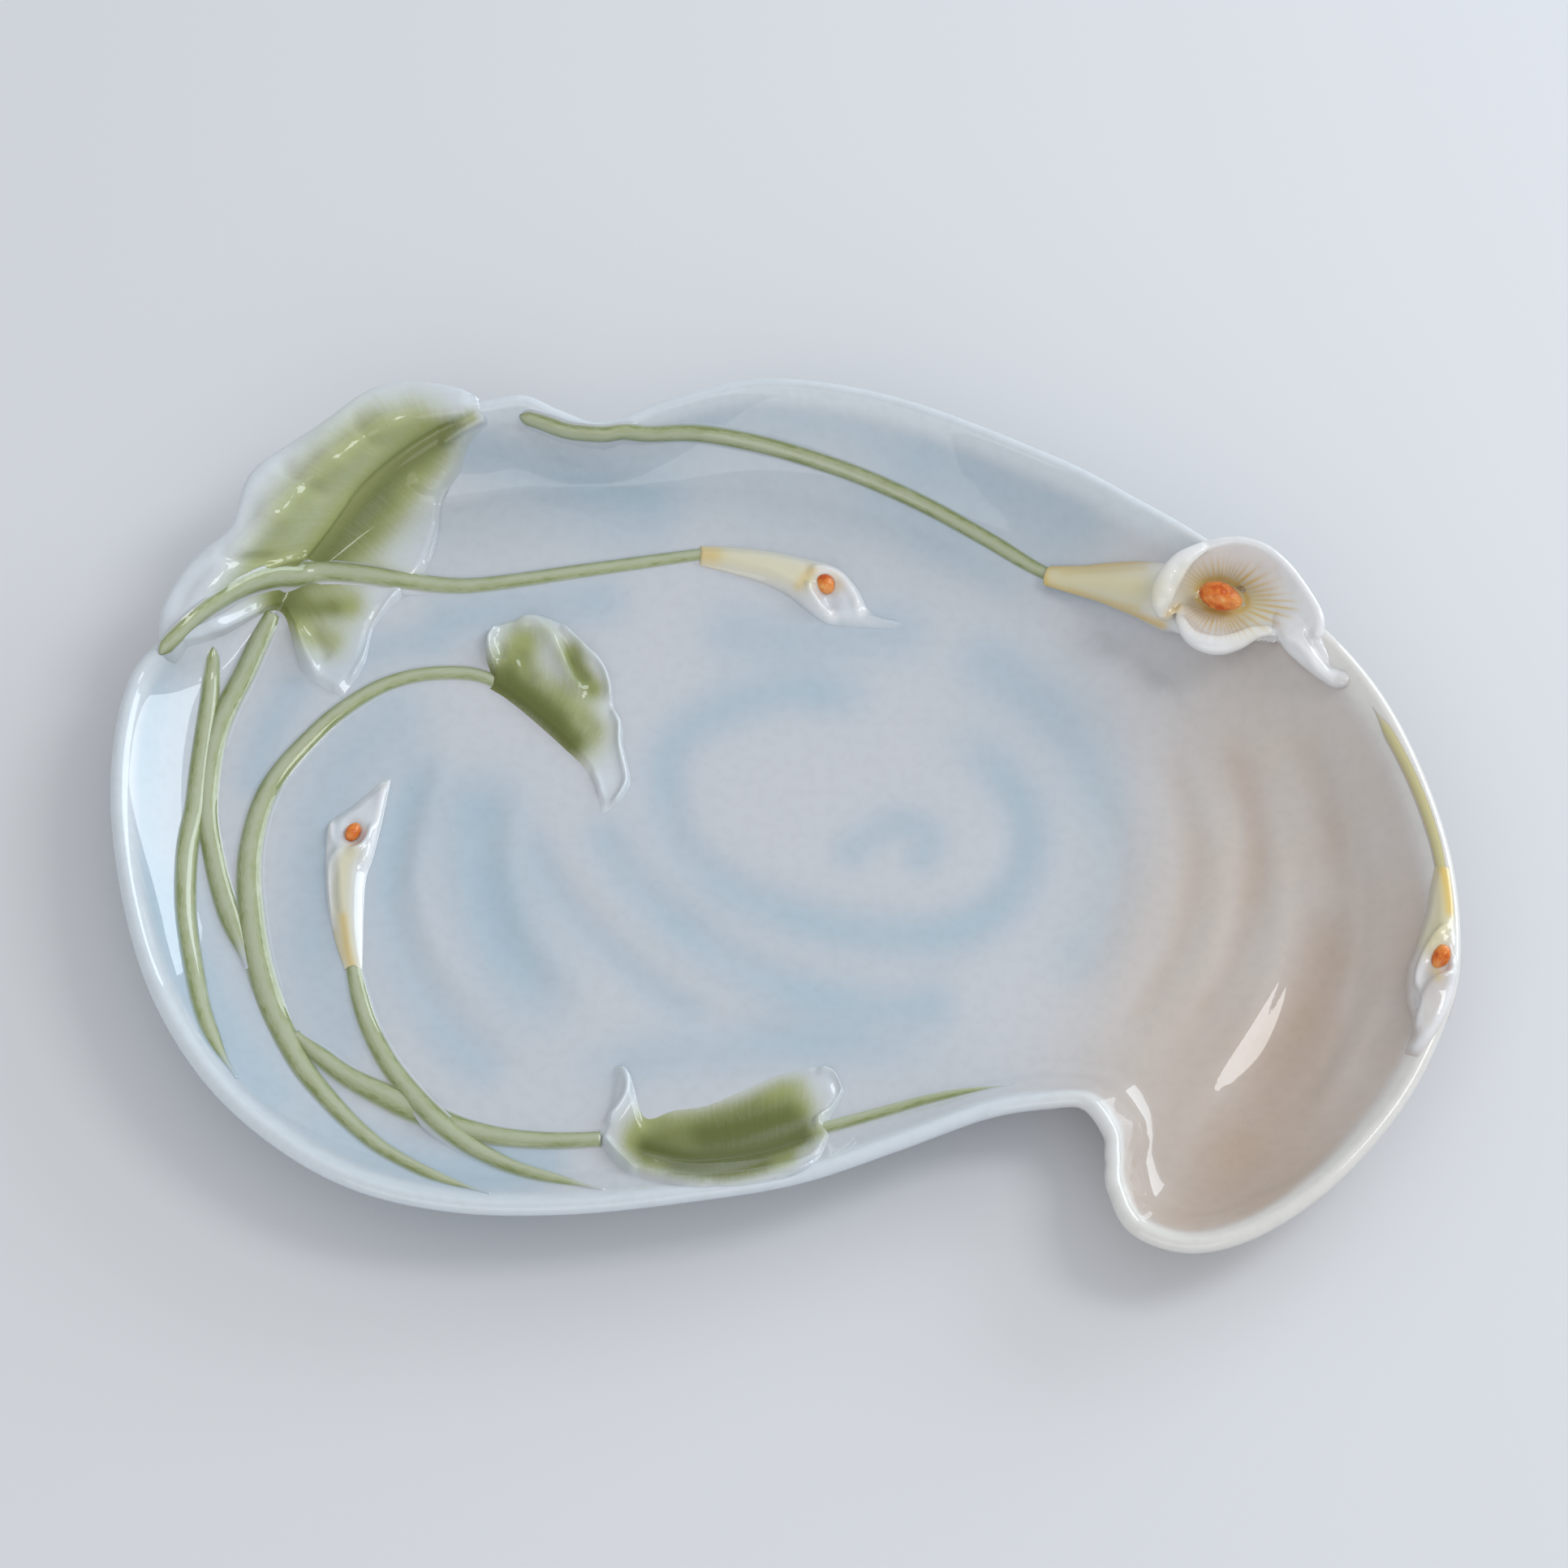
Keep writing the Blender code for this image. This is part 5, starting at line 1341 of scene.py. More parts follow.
@dataclass(frozen=True)
class Relief:
    """A leaf or bud of clay laid on the basin, with folds raised on it and colours brushed on.

    Attributes:
        node: the solid that it stands for.
        slot: the record's material slot.
        rows: its outline in pixels, from base to tip, each row from left margin to right margin.
        height: of its body along its length, in metres.
        edges: how far in from the left, right, base and tip margins the body is full, in metres.
        domed: 1 for a body that rounds down to its margins, 0 for one that eases into the basin.
        folds: ridges, and grooves where the strength is negative.
        brushed: strokes of each colour.
        roll: the radius of a left margin that rolls over in roll_steps and hangs free, in metres.
        tucked: how far such a margin runs back in under the leaf, in metres.
        across, along: faces each way.
        easing: how often the kinks of the ground under it are eased.
        lift: how high above the ground its outline is seen, in metres.
        whiteness: of the body where no colour is brushed on.
        border: the two rows round it that go down into the basin, in metres.
        sink, body: how far they go, and how deep the clay goes.
    """

    node: str
    slot: str
    rows: tuple[Rows, ...]
    height: tuple[float, ...]
    edges: tuple[float, float, float, float]
    domed: float
    folds: tuple[Stroke, ...]
    brushed: dict[str, tuple[Stroke, ...]]
    roll: float = 0.0
    across: int = 72
    along: int = 120
    easing: int = 0
    lift: float = 0.0008
    roll_steps: int = 10
    whiteness: float = 0.55
    border: tuple[float, float] = (0.00030, 0.00095)
    sink: float = 0.0005
    body: float = 0.0006
    tucked: float = 0.0022

    def outline(self) -> Array:
        """Pixels of the whole sheet, first across and then along."""
        table = np.array(self.rows, float)
        rows, columns = table.shape[:2]
        long = evenly(table.reshape(rows, -1), self.along + 1).reshape(-1, columns, 2)
        wide = evenly(long.transpose(1, 0, 2).reshape(columns, -1), self.across + 1)
        return wide.reshape(self.across + 1, self.along + 1, 2)

    def bordered(self, plan: Array) -> tuple[Array, Array]:
        """The sheet with a border round it, and how deep in the outline each place lies.

        Args:
            plan: places of the sheet, across, along and x, y.

        Returns:
            The places with two more on each side, and the four depths from the margins.
        """
        reach = np.array(self.border)
        for axis in (0, 1):
            first, last = np.take(plan, 0, axis), np.take(plan, -1, axis)
            before = unit(first - np.take(plan, 1, axis))
            after = unit(last - np.take(plan, -2, axis))
            head = [first + before * reach[1], first + before * reach[0]]
            tail = [last + after * reach[0], last + after * reach[1]]
            plan = np.concatenate([np.stack(head, axis), plan, np.stack(tail, axis)], axis)
        depths = []
        for axis in (0, 1):
            steps = np.linalg.norm(np.diff(plan, axis=axis), axis=2)
            run = np.concatenate([np.zeros_like(np.take(steps, [0], axis)), np.cumsum(steps, axis)], axis)
            depths.append(run - reach[1])
            depths.append(np.take(run, [-1], axis) - reach[1] - run)
        return plan, np.array(depths)

    def full(self, depths: Array) -> Array:
        """The share of its height that the body has, by how deep in the outline a place lies."""
        out = np.ones(depths.shape[1:])
        for depth, edge in zip(depths, self.edges):
            if edge:
                part = np.clip(depth / edge, 0, 1)
                soft, round_ = part * part * (3 - 2 * part), np.sqrt(1 - (1 - part) ** 2)
                out = out * ((1 - self.domed) * soft + self.domed * round_)
        return out

    def rolled(self, points: Array, square: Array) -> Array:
        """The sheet with its left margin carried round a roll and back under."""
        outward = unit(points[0] - points[3])
        share = np.linspace(0, 1, points.shape[1])
        radius = self.roll * np.sqrt(np.minimum(soft_step(share, -0.01, 0.08), soft_step(1 - share, -0.01, 0.10)))
        turns = np.linspace(math.radians(170), math.radians(14), self.roll_steps)
        hidden = []
        for turn in turns:
            out, down = math.sin(turn), math.cos(turn) - 1
            hidden.append(points[0] + radius[:, None] * (out * outward + down * square[0]))
        hidden.insert(0, hidden[0] - self.tucked * outward)
        return np.concatenate([np.stack(hidden), points])

    def build(self, ground: Ground, material: bpy.types.Material) -> bpy.types.Object:
        """The finished piece.

        Args:
            ground: what it is laid on.
            material: its glaze.

        Returns:
            The piece.
        """
        pixels = self.outline()
        plan = ground.seen(pixels.reshape(-1, 2), self.lift)[:, 0:2].reshape(pixels.shape)
        plan, depths = self.bordered(plan)
        flat = plan.reshape(-1, 2)
        shape = plan.shape[:2]
        base = ground.place(flat).reshape(*shape, 3)
        level = base[..., 2].copy()
        for _ in range(self.easing):
            level[1:-1] = (level[:-2] + 2 * level[1:-1] + level[2:]) / 4
        square = ground.square(flat).reshape(*shape, 3)
        for _ in range(4 + self.easing):
            square[1:-1, 1:-1] = (square[:-2, 1:-1] + square[2:, 1:-1] + square[1:-1, :-2] + square[1:-1, 2:]
                                  + 2 * square[1:-1, 1:-1]) / 6
        square = unit(square)
        full = self.full(depths)
        base[..., 2] += full * np.maximum(level - base[..., 2], 0.0)
        heights = evenly(np.reshape(self.height, (-1, 1)), shape[1])[:, 0]
        points = base + (full * heights)[..., None] * square
        seen = SIGHT.pixels(points.reshape(-1, 3))
        inner = soft_step(depths[1 if self.roll else 0:].min(axis=0), -0.0003, 0.0004)
        points = points + (inner * total(self.folds, seen).reshape(shape))[..., None] * square
        out = np.maximum(-depths, 0.0).max(axis=0)
        if self.roll:
            points, out, square, full = points[2:], out[2:], square[2:], full[2:]
        points = points - (np.clip(out / 0.0009, 0, 1) * self.sink)[..., None] * square
        if self.roll:
            points = self.rolled(points, square)
        thing = sheet_on(self.node.replace("_", "-") + "-relief", points.transpose(1, 0, 2), looped=False)
        made = points_of(thing)
        seen = SIGHT.pixels(made)
        laid = {name: covered(strokes, seen) for name, strokes in self.brushed.items()}
        shares = {**dict.fromkeys(("green", "deep", "yellow", "ochre", "white"), np.zeros(len(made))), **laid}
        full = np.pad(full, ((len(points) - len(full), 0), (0, 0)), constant_values=1.0)
        first, second = sheet_shares(thing)
        raised = full[np.round(first * (full.shape[0] - 1)).astype(int),
                      np.round(second * (full.shape[1] - 1)).astype(int)]
        shares["white"] = np.maximum(shares["white"], self.whiteness * raised)
        keep_shares(thing, **shares, **Washes.shares(made))
        weld(thing, closed=False)
        thicken(thing, self.body)
        finish_piece(thing, self.slot, material, self.node)
        return thing


RIM_LEAF = Relief(
    "rim_leaf", "leaf_glaze",
    rows=(
        ((203, 802), (268, 783), (343, 750), (372, 822), (420, 857)),
        ((208, 748), (275, 742), (352, 727), (402, 790), (447, 818)),
        ((246, 690), (305, 700), (376, 688), (432, 742), (460, 770)),
        ((291, 650), (340, 652), (402, 655), (456, 698), (492, 735)),
        ((312, 590), (368, 602), (430, 616), (482, 660), (522, 703)),
        ((350, 557), (400, 572), (458, 588), (504, 625), (538, 660)),
        ((412, 517), (444, 537), (486, 566), (524, 592), (546, 612)),
        ((470, 480), (488, 510), (515, 547), (546, 565), (566, 580)),
        ((532, 476), (538, 500), (548, 529), (563, 540), (578, 545)),
        ((588, 488), (590, 497), (594, 507), (598, 513), (601, 519)),
    ),
    height=(0.0010, 0.0012, 0.0013, 0.0014, 0.0014, 0.0013, 0.0012, 0.0011, 0.0009, 0.0005),
    edges=(0.0, 0.0022, 0.0016, 0.0040), domed=0.2, roll=0.0013, across=110, along=170, easing=14,
    folds=(
        Stroke((343, 745, 365, 712, 382, 690, 412, 652, 437, 618, 461, 592, 486, 570, 520, 545, 575, 515), 6, -0.0010,
               0.12),
        Stroke((352, 706, 378, 682, 400, 655, 420, 626, 440, 600), 6, 0.0008),
        Stroke((322, 702, 352, 691, 380, 683), 5, 0.0008),
        Stroke((206, 775, 212, 745, 230, 710, 262, 684, 290, 655, 304, 610, 330, 575, 370, 556, 405, 528, 440, 496,
               485, 480, 540, 482, 596, 492), 12, 0.0006, 0.04),
        Stroke((222, 735, 262, 722, 300, 715), 20, 0.0007),
        Stroke((300, 618, 335, 632, 372, 648), 21, 0.0011),
        Stroke((378, 550, 410, 566, 440, 585), 20, 0.0009),
        Stroke((452, 496, 480, 520, 500, 545), 20, 0.0007),
        Stroke((262, 684, 305, 690, 350, 690), 9, -0.0009),
        Stroke((338, 566, 372, 592, 410, 618), 10, -0.0009),
        Stroke((428, 508, 448, 532, 470, 560), 9, -0.0006),
        Stroke((255, 778, 290, 763, 327, 744), 8, 0.0012),
        Stroke((362, 760, 370, 790, 384, 820, 394, 836), 7, 0.0016),
        Stroke((380, 766, 394, 790, 404, 818), 9, -0.0009),
        Stroke((500, 722, 478, 745, 462, 775, 452, 805, 430, 845), 6, 0.0010, 0.1),
        Stroke((552, 600, 545, 640, 534, 680, 528, 702), 6, 0.0010, 0.1),
        Stroke((500, 585, 530, 600, 550, 602), 10, 0.0006),
        Stroke((540, 548, 572, 527, 602, 512), 6, 0.0009, 0.1),
    ),
    brushed={
        "green": (
            Stroke((348, 735, 382, 690, 420, 640, 455, 598, 500, 560, 535, 538), 33, 1.0),
            Stroke((530, 538, 555, 527, 580, 515), 11, 0.80),
            Stroke((405, 705, 440, 675, 475, 635, 500, 600, 522, 568), 34, 0.90),
            Stroke((352, 742, 385, 748, 430, 746), 24, 0.95),
            Stroke((362, 765, 385, 782, 408, 790), 24, 0.80),
            Stroke((322, 692, 362, 632, 414, 574, 464, 534, 505, 518), 34, 0.78),
            Stroke((352, 622, 400, 564, 450, 522), 32, 0.42),
            Stroke((465, 700, 500, 712, 540, 718), 12, 0.45),
            Stroke((282, 728, 316, 704, 350, 690), 20, 0.55),
        ),
        "deep": (
            Stroke((350, 738, 385, 702, 415, 670, 445, 632, 470, 602, 505, 567, 560, 530), 20, 0.66),
            Stroke((400, 690, 440, 660, 475, 620), 20, 0.36),
            Stroke((350, 744, 375, 750, 410, 750), 15, 0.56),
        ),
        "white": (
            Stroke((205, 752, 228, 712, 262, 685, 292, 652, 312, 595, 345, 565, 392, 545, 440, 495, 485, 480, 540, 482,
                   590, 490), 22, 0.85),
            Stroke((362, 760, 370, 790, 384, 820, 400, 845), 12, 0.7),
            Stroke((500, 722, 478, 745, 462, 775, 452, 805, 430, 845), 8, 0.6),
            Stroke((215, 795, 268, 770, 330, 742), 16, 0.6),
        ),
    },
)
CURLED_LEAF = Relief(
    "curled_leaf", "leaf_glaze",
    rows=(
        ((602, 845), (604, 837), (604, 826), (600, 808), (598, 788)),
        ((622, 857), (626, 842), (626, 820), (616, 790), (612, 768)),
        ((645, 875), (650, 856), (652, 826), (645, 790), (646, 760)),
        ((666, 893), (674, 872), (682, 838), (680, 795), (682, 761)),
        ((684, 909), (696, 886), (708, 850), (708, 815), (712, 784)),
        ((698, 922), (710, 900), (724, 868), (732, 838), (741, 813)),
        ((708, 931), (720, 911), (734, 884), (744, 862), (753, 840)),
        ((717, 940), (728, 922), (740, 900), (748, 884), (756, 868)),
        ((724, 949), (735, 934), (748, 916), (757, 902), (766, 890)),
        ((731, 962), (741, 948), (752, 934), (760, 924), (767, 916)),
        ((736, 976), (745, 964), (756, 952), (764, 944), (772, 940)),
        ((739, 990), (747, 982), (757, 974), (766, 967), (775, 964)),
        ((740, 1003), (745, 999), (752, 994), (758, 990), (764, 986)),
    ),
    height=(0.0010, 0.0012, 0.0013, 0.0013, 0.0012, 0.0011, 0.0009, 0.0008, 0.0006, 0.0004),
    edges=(0.0018, 0.0014, 0.0012, 0.0022), domed=0.15,
    folds=(
        Stroke((614, 770, 603, 784, 602, 804, 610, 822), 6, 0.0016, 0.1),
        Stroke((616, 786, 618, 800, 620, 814), 6, -0.0007),
        Stroke((630, 768, 655, 766, 676, 782, 690, 806, 702, 835, 722, 860), 10, 0.0018, 0.1),
        Stroke((694, 780, 703, 802, 713, 824, 727, 844), 10, -0.0011),
        Stroke((690, 768, 712, 786, 722, 802, 741, 816, 750, 840, 753, 866), 6, 0.0013, 0.1),
        Stroke((754, 870, 763, 890, 763, 914, 769, 942, 772, 964, 762, 984, 750, 997), 5, 0.0013, 0.1),
        Stroke((640, 795, 648, 820, 660, 845), 9, -0.0009),
        Stroke((700, 880, 722, 890, 742, 900), 10, -0.0006),
        Stroke((728, 948, 736, 966, 741, 985), 5, 0.0005),
    ),
    brushed={
        "green": (
            Stroke((600, 838, 635, 850, 672, 878, 704, 914), 34, 1.0),
            Stroke((632, 835, 636, 812, 644, 792), 28, 1.0),
            Stroke((652, 826, 678, 850, 702, 870), 26, 0.36),
            Stroke((690, 860, 714, 880, 730, 900), 24, 0.70),
            Stroke((704, 806, 716, 830, 730, 848), 18, 1.0),
            Stroke((672, 775, 690, 790), 12, 0.35),
        ),
        "deep": (
            Stroke((604, 836, 638, 856, 668, 880, 704, 914), 23, 0.92),
            Stroke((630, 838, 655, 860, 688, 888), 17, 0.62),
            Stroke((628, 826, 640, 806), 12, 0.35),
            Stroke((706, 816, 716, 834, 724, 848), 12, 0.50),
        ),
        "white": (
            Stroke((694, 770, 712, 785, 722, 801, 741, 816, 752, 850, 763, 892, 765, 920, 772, 955, 764, 982, 748,
                   996), 7, 0.95),
            Stroke((630, 768, 655, 766, 676, 782, 690, 806, 702, 835, 722, 860), 7, 0.85),
            Stroke((614, 770, 603, 784, 602, 804, 610, 822), 7, 0.85),
        ),
    },
)
FRONT_LEAF = Relief(
    "front_leaf", "leaf_glaze",
    rows=(
        ((737, 1402), (742, 1392), (746, 1380), (750, 1358), (757, 1312)),
        ((760, 1432), (762, 1418), (765, 1400), (770, 1370), (776, 1322)),
        ((790, 1450), (792, 1436), (794, 1416), (794, 1396), (794, 1374)),
        ((830, 1458), (831, 1444), (832, 1424), (831, 1394), (830, 1366)),
        ((872, 1460), (874, 1446), (876, 1427), (873, 1392), (870, 1360)),
        ((915, 1458), (917, 1443), (920, 1422), (917, 1380), (914, 1342)),
        ((956, 1452), (957, 1436), (959, 1414), (957, 1368), (955, 1324)),
        ((992, 1438), (990, 1424), (987, 1404), (992, 1355), (998, 1313)),
        ((1012, 1420), (1009, 1408), (1006, 1392), (1018, 1352), (1026, 1317)),
        ((1022, 1398), (1021, 1390), (1020, 1380), (1030, 1360), (1039, 1342)),
    ),
    height=(0.0007, 0.0010, 0.0012, 0.0013, 0.0013, 0.0013, 0.0013, 0.0012, 0.0011, 0.0007),
    edges=(0.0018, 0.0050, 0.0016, 0.0016), domed=0.0, whiteness=0.2,
    folds=(
        Stroke((758, 1308, 768, 1318, 774, 1334, 771, 1352, 760, 1370, 746, 1384), 6, 0.0016, 0.1),
        Stroke((742, 1398, 758, 1420, 784, 1446), 5, 0.0010, 0.15),
        Stroke((770, 1410, 840, 1426, 900, 1424, 950, 1415, 1000, 1398), 5, -0.0003, 0.1),
        Stroke((960, 1452, 992, 1440, 1012, 1430, 1045, 1417), 6, 0.0007),
        Stroke((1005, 1315, 1028, 1320, 1039, 1343, 1026, 1368, 1000, 1386), 6, 0.0013, 0.1),
        Stroke((815, 1450, 845, 1456, 880, 1458), 5, 0.0006),
    ),
    brushed={
        "green": (
            Stroke((792, 1400, 850, 1402, 905, 1394, 950, 1380, 982, 1368), 28, 1.0),
            Stroke((786, 1410, 853, 1424, 900, 1422, 945, 1413, 990, 1398), 19, 1.0),
            Stroke((800, 1386, 860, 1381, 915, 1366, 965, 1346), 19, 0.85),
            Stroke((950, 1352, 985, 1338), 15, 0.50),
            Stroke((800, 1428, 860, 1441, 915, 1440, 968, 1424), 16, 0.95),
            Stroke((975, 1408, 1010, 1394), 9, 0.70),
        ),
        "deep": (
            Stroke((798, 1414, 853, 1427, 900, 1424, 945, 1415, 988, 1400), 18, 1.0),
            Stroke((870, 1402, 925, 1390, 968, 1374), 24, 0.85),
            Stroke((820, 1400, 880, 1390, 930, 1370), 22, 0.55),
            Stroke((835, 1437, 885, 1444, 938, 1434), 14, 0.75),
            Stroke((878, 1413, 930, 1403, 986, 1386), 13, 0.60),
        ),
        "white": (
            Stroke((758, 1308, 768, 1318, 774, 1334, 771, 1352, 760, 1370, 746, 1384), 9, 0.9),
            Stroke((1005, 1315, 1028, 1320, 1039, 1343, 1026, 1368, 1000, 1386), 9, 0.9),
            Stroke((742, 1398, 758, 1420, 784, 1446), 8, 0.8),
        ),
    },
)
LEAVES = (RIM_LEAF, CURLED_LEAF, FRONT_LEAF)
BUDS = (
    Relief(
        "centre_bud_spathe", "petal_glaze",
        rows=(
            ((862, 694), (862, 682), (862, 670)), ((900, 704), (903, 688), (905, 672)),
            ((940, 716), (945, 695), (950, 677)), ((972, 732), (982, 707), (992, 686)),
            ((992, 748), (1008, 722), (1026, 696)), ((1016, 764), (1034, 742), (1054, 720)),
            ((1050, 770), (1062, 763), (1074, 752)), ((1104, 772), (1110, 769), (1116, 765)),
        ),
        height=(0.0013, 0.0017, 0.0020, 0.0022, 0.0021, 0.0013, 0.0005, 0.0002),
        edges=(0.0030, 0.0030, 0.0006, 0.0030), domed=0.65, across=60, along=140,
        folds=(
            Stroke((1022, 706, 1020, 722, 1022, 744, 1030, 762), 12, -0.0015, 0.15),
            Stroke((992, 704, 1015, 702, 1036, 710, 1050, 728, 1062, 754), 6, 0.0011, 0.15),
            Stroke((998, 712, 998, 728, 1008, 742, 1026, 758), 6, 0.0011, 0.15),
            Stroke((1060, 756, 1085, 765, 1110, 768), 4, 0.0004),
        ),
        brushed={
            "yellow": (Stroke((862, 682, 900, 687, 950, 697, 990, 708), 22, 0.80),),
            "ochre": (Stroke((864, 682, 878, 683), 13, 0.60), Stroke((984, 722, 1000, 703), 7, 0.50),
                      Stroke((1028, 712, 1034, 722), 8, 0.35)),
            "white": (Stroke((992, 704, 1015, 702, 1036, 710, 1050, 728, 1062, 754), 11, 0.95),
                      Stroke((992, 716, 996, 730, 1008, 744, 1026, 758), 12, 0.95)),
        },
    ),
    Relief(
        "left_bud_spathe", "petal_glaze",
        rows=(
            ((424, 1192), (434, 1192), (446, 1194)), ((412, 1155), (427, 1155), (447, 1157)),
            ((405, 1115), (424, 1115), (448, 1117)), ((402, 1075), (424, 1075), (451, 1080)),
            ((401, 1045), (428, 1045), (461, 1045)), ((406, 1012), (437, 1016), (469, 1012)),
            ((432, 992), (453, 992), (475, 984)), ((470, 961), (475, 960), (481, 957)),
        ),
        height=(0.0012, 0.0017, 0.0020, 0.0021, 0.0020, 0.0015, 0.0010, 0.0004),
        edges=(0.0030, 0.0030, 0.0006, 0.0030), domed=0.60, across=60, along=140,
        folds=(
            Stroke((432, 1046, 436, 1026, 442, 1006), 12, -0.0014, 0.15),
            Stroke((408, 1140, 404, 1100, 405, 1070, 412, 1052, 428, 1044), 4, 0.0006),
            Stroke((416, 1130, 412, 1095, 414, 1066), 3.5, -0.0005),
            Stroke((410, 1044, 407, 1026, 408, 1010), 5, 0.0007),
            Stroke((446, 1075, 455, 1045, 466, 1015, 472, 985, 478, 962), 8, 0.0009, 0.15),
            Stroke((424, 1046, 438, 1046, 452, 1034, 458, 1012), 5, 0.0008),
        ),
        brushed={
            "yellow": (Stroke((433, 1192, 424, 1150, 421, 1105, 424, 1066, 432, 1050), 13, 0.80),),
            "ochre": (Stroke((433, 1190, 427, 1165, 423, 1130), 6, 0.55),
                      Stroke((420, 1180, 411, 1150), 6, 0.25)),
            "white": (Stroke((448, 1190, 448, 1130, 450, 1085, 458, 1045, 468, 1010, 478, 962), 14, 0.95),
                      Stroke((408, 1140, 404, 1100, 404, 1060, 408, 1012), 8, 0.85)),
        },
    ),
    Relief(
        "side_bud_spathe", "petal_glaze",
        rows=(
            ((1769, 1062), (1777, 1064), (1786, 1066)), ((1763, 1090), (1777, 1092), (1790, 1094)),
            ((1757, 1125), (1775, 1128), (1793, 1130)), ((1745, 1165), (1770, 1168), (1795, 1170)),
            ((1735, 1200), (1764, 1203), (1793, 1206)), ((1735, 1235), (1758, 1238), (1784, 1242)),
            ((1741, 1262), (1755, 1266), (1770, 1270)), ((1731, 1296), (1739, 1298), (1748, 1300)),
        ),
        height=(0.0008, 0.0012, 0.0015, 0.0018, 0.0019, 0.0016, 0.0010, 0.0004),
        edges=(0.0024, 0.0020, 0.0006, 0.0024), domed=0.5, across=60, along=130,
        folds=(
            Stroke((1780, 1160, 1777, 1180, 1770, 1202), 13, -0.0014, 0.2),
            Stroke((1792, 1132, 1775, 1152, 1760, 1175, 1751, 1200, 1750, 1222, 1757, 1236), 6, 0.0015),
            Stroke((1795, 1180, 1788, 1200, 1770, 1213, 1760, 1230, 1754, 1252, 1742, 1278), 7, 0.0015),
            Stroke((1742, 1170, 1734, 1200, 1734, 1232, 1742, 1258), 5, 0.0005),
            Stroke((1746, 1215, 1748, 1235, 1750, 1248), 5, -0.0006),
        ),
        brushed={
            "yellow": (Stroke((1778, 1064, 1779, 1100, 1777, 1130, 1766, 1160), 18, 1.0),),
            "ochre": (Stroke((1777, 1066, 1783, 1092, 1787, 1122), 7, 0.85),
                      Stroke((1768, 1196, 1772, 1204), 7, 0.45)),
            "white": (Stroke((1795, 1140, 1797, 1180, 1790, 1215, 1770, 1260, 1745, 1290), 12, 0.9),
                      Stroke((1758, 1180, 1748, 1205, 1750, 1235, 1748, 1260), 10, 0.8)),
        },
    ),
)


# ---------------------------------------------------------------- the open flower


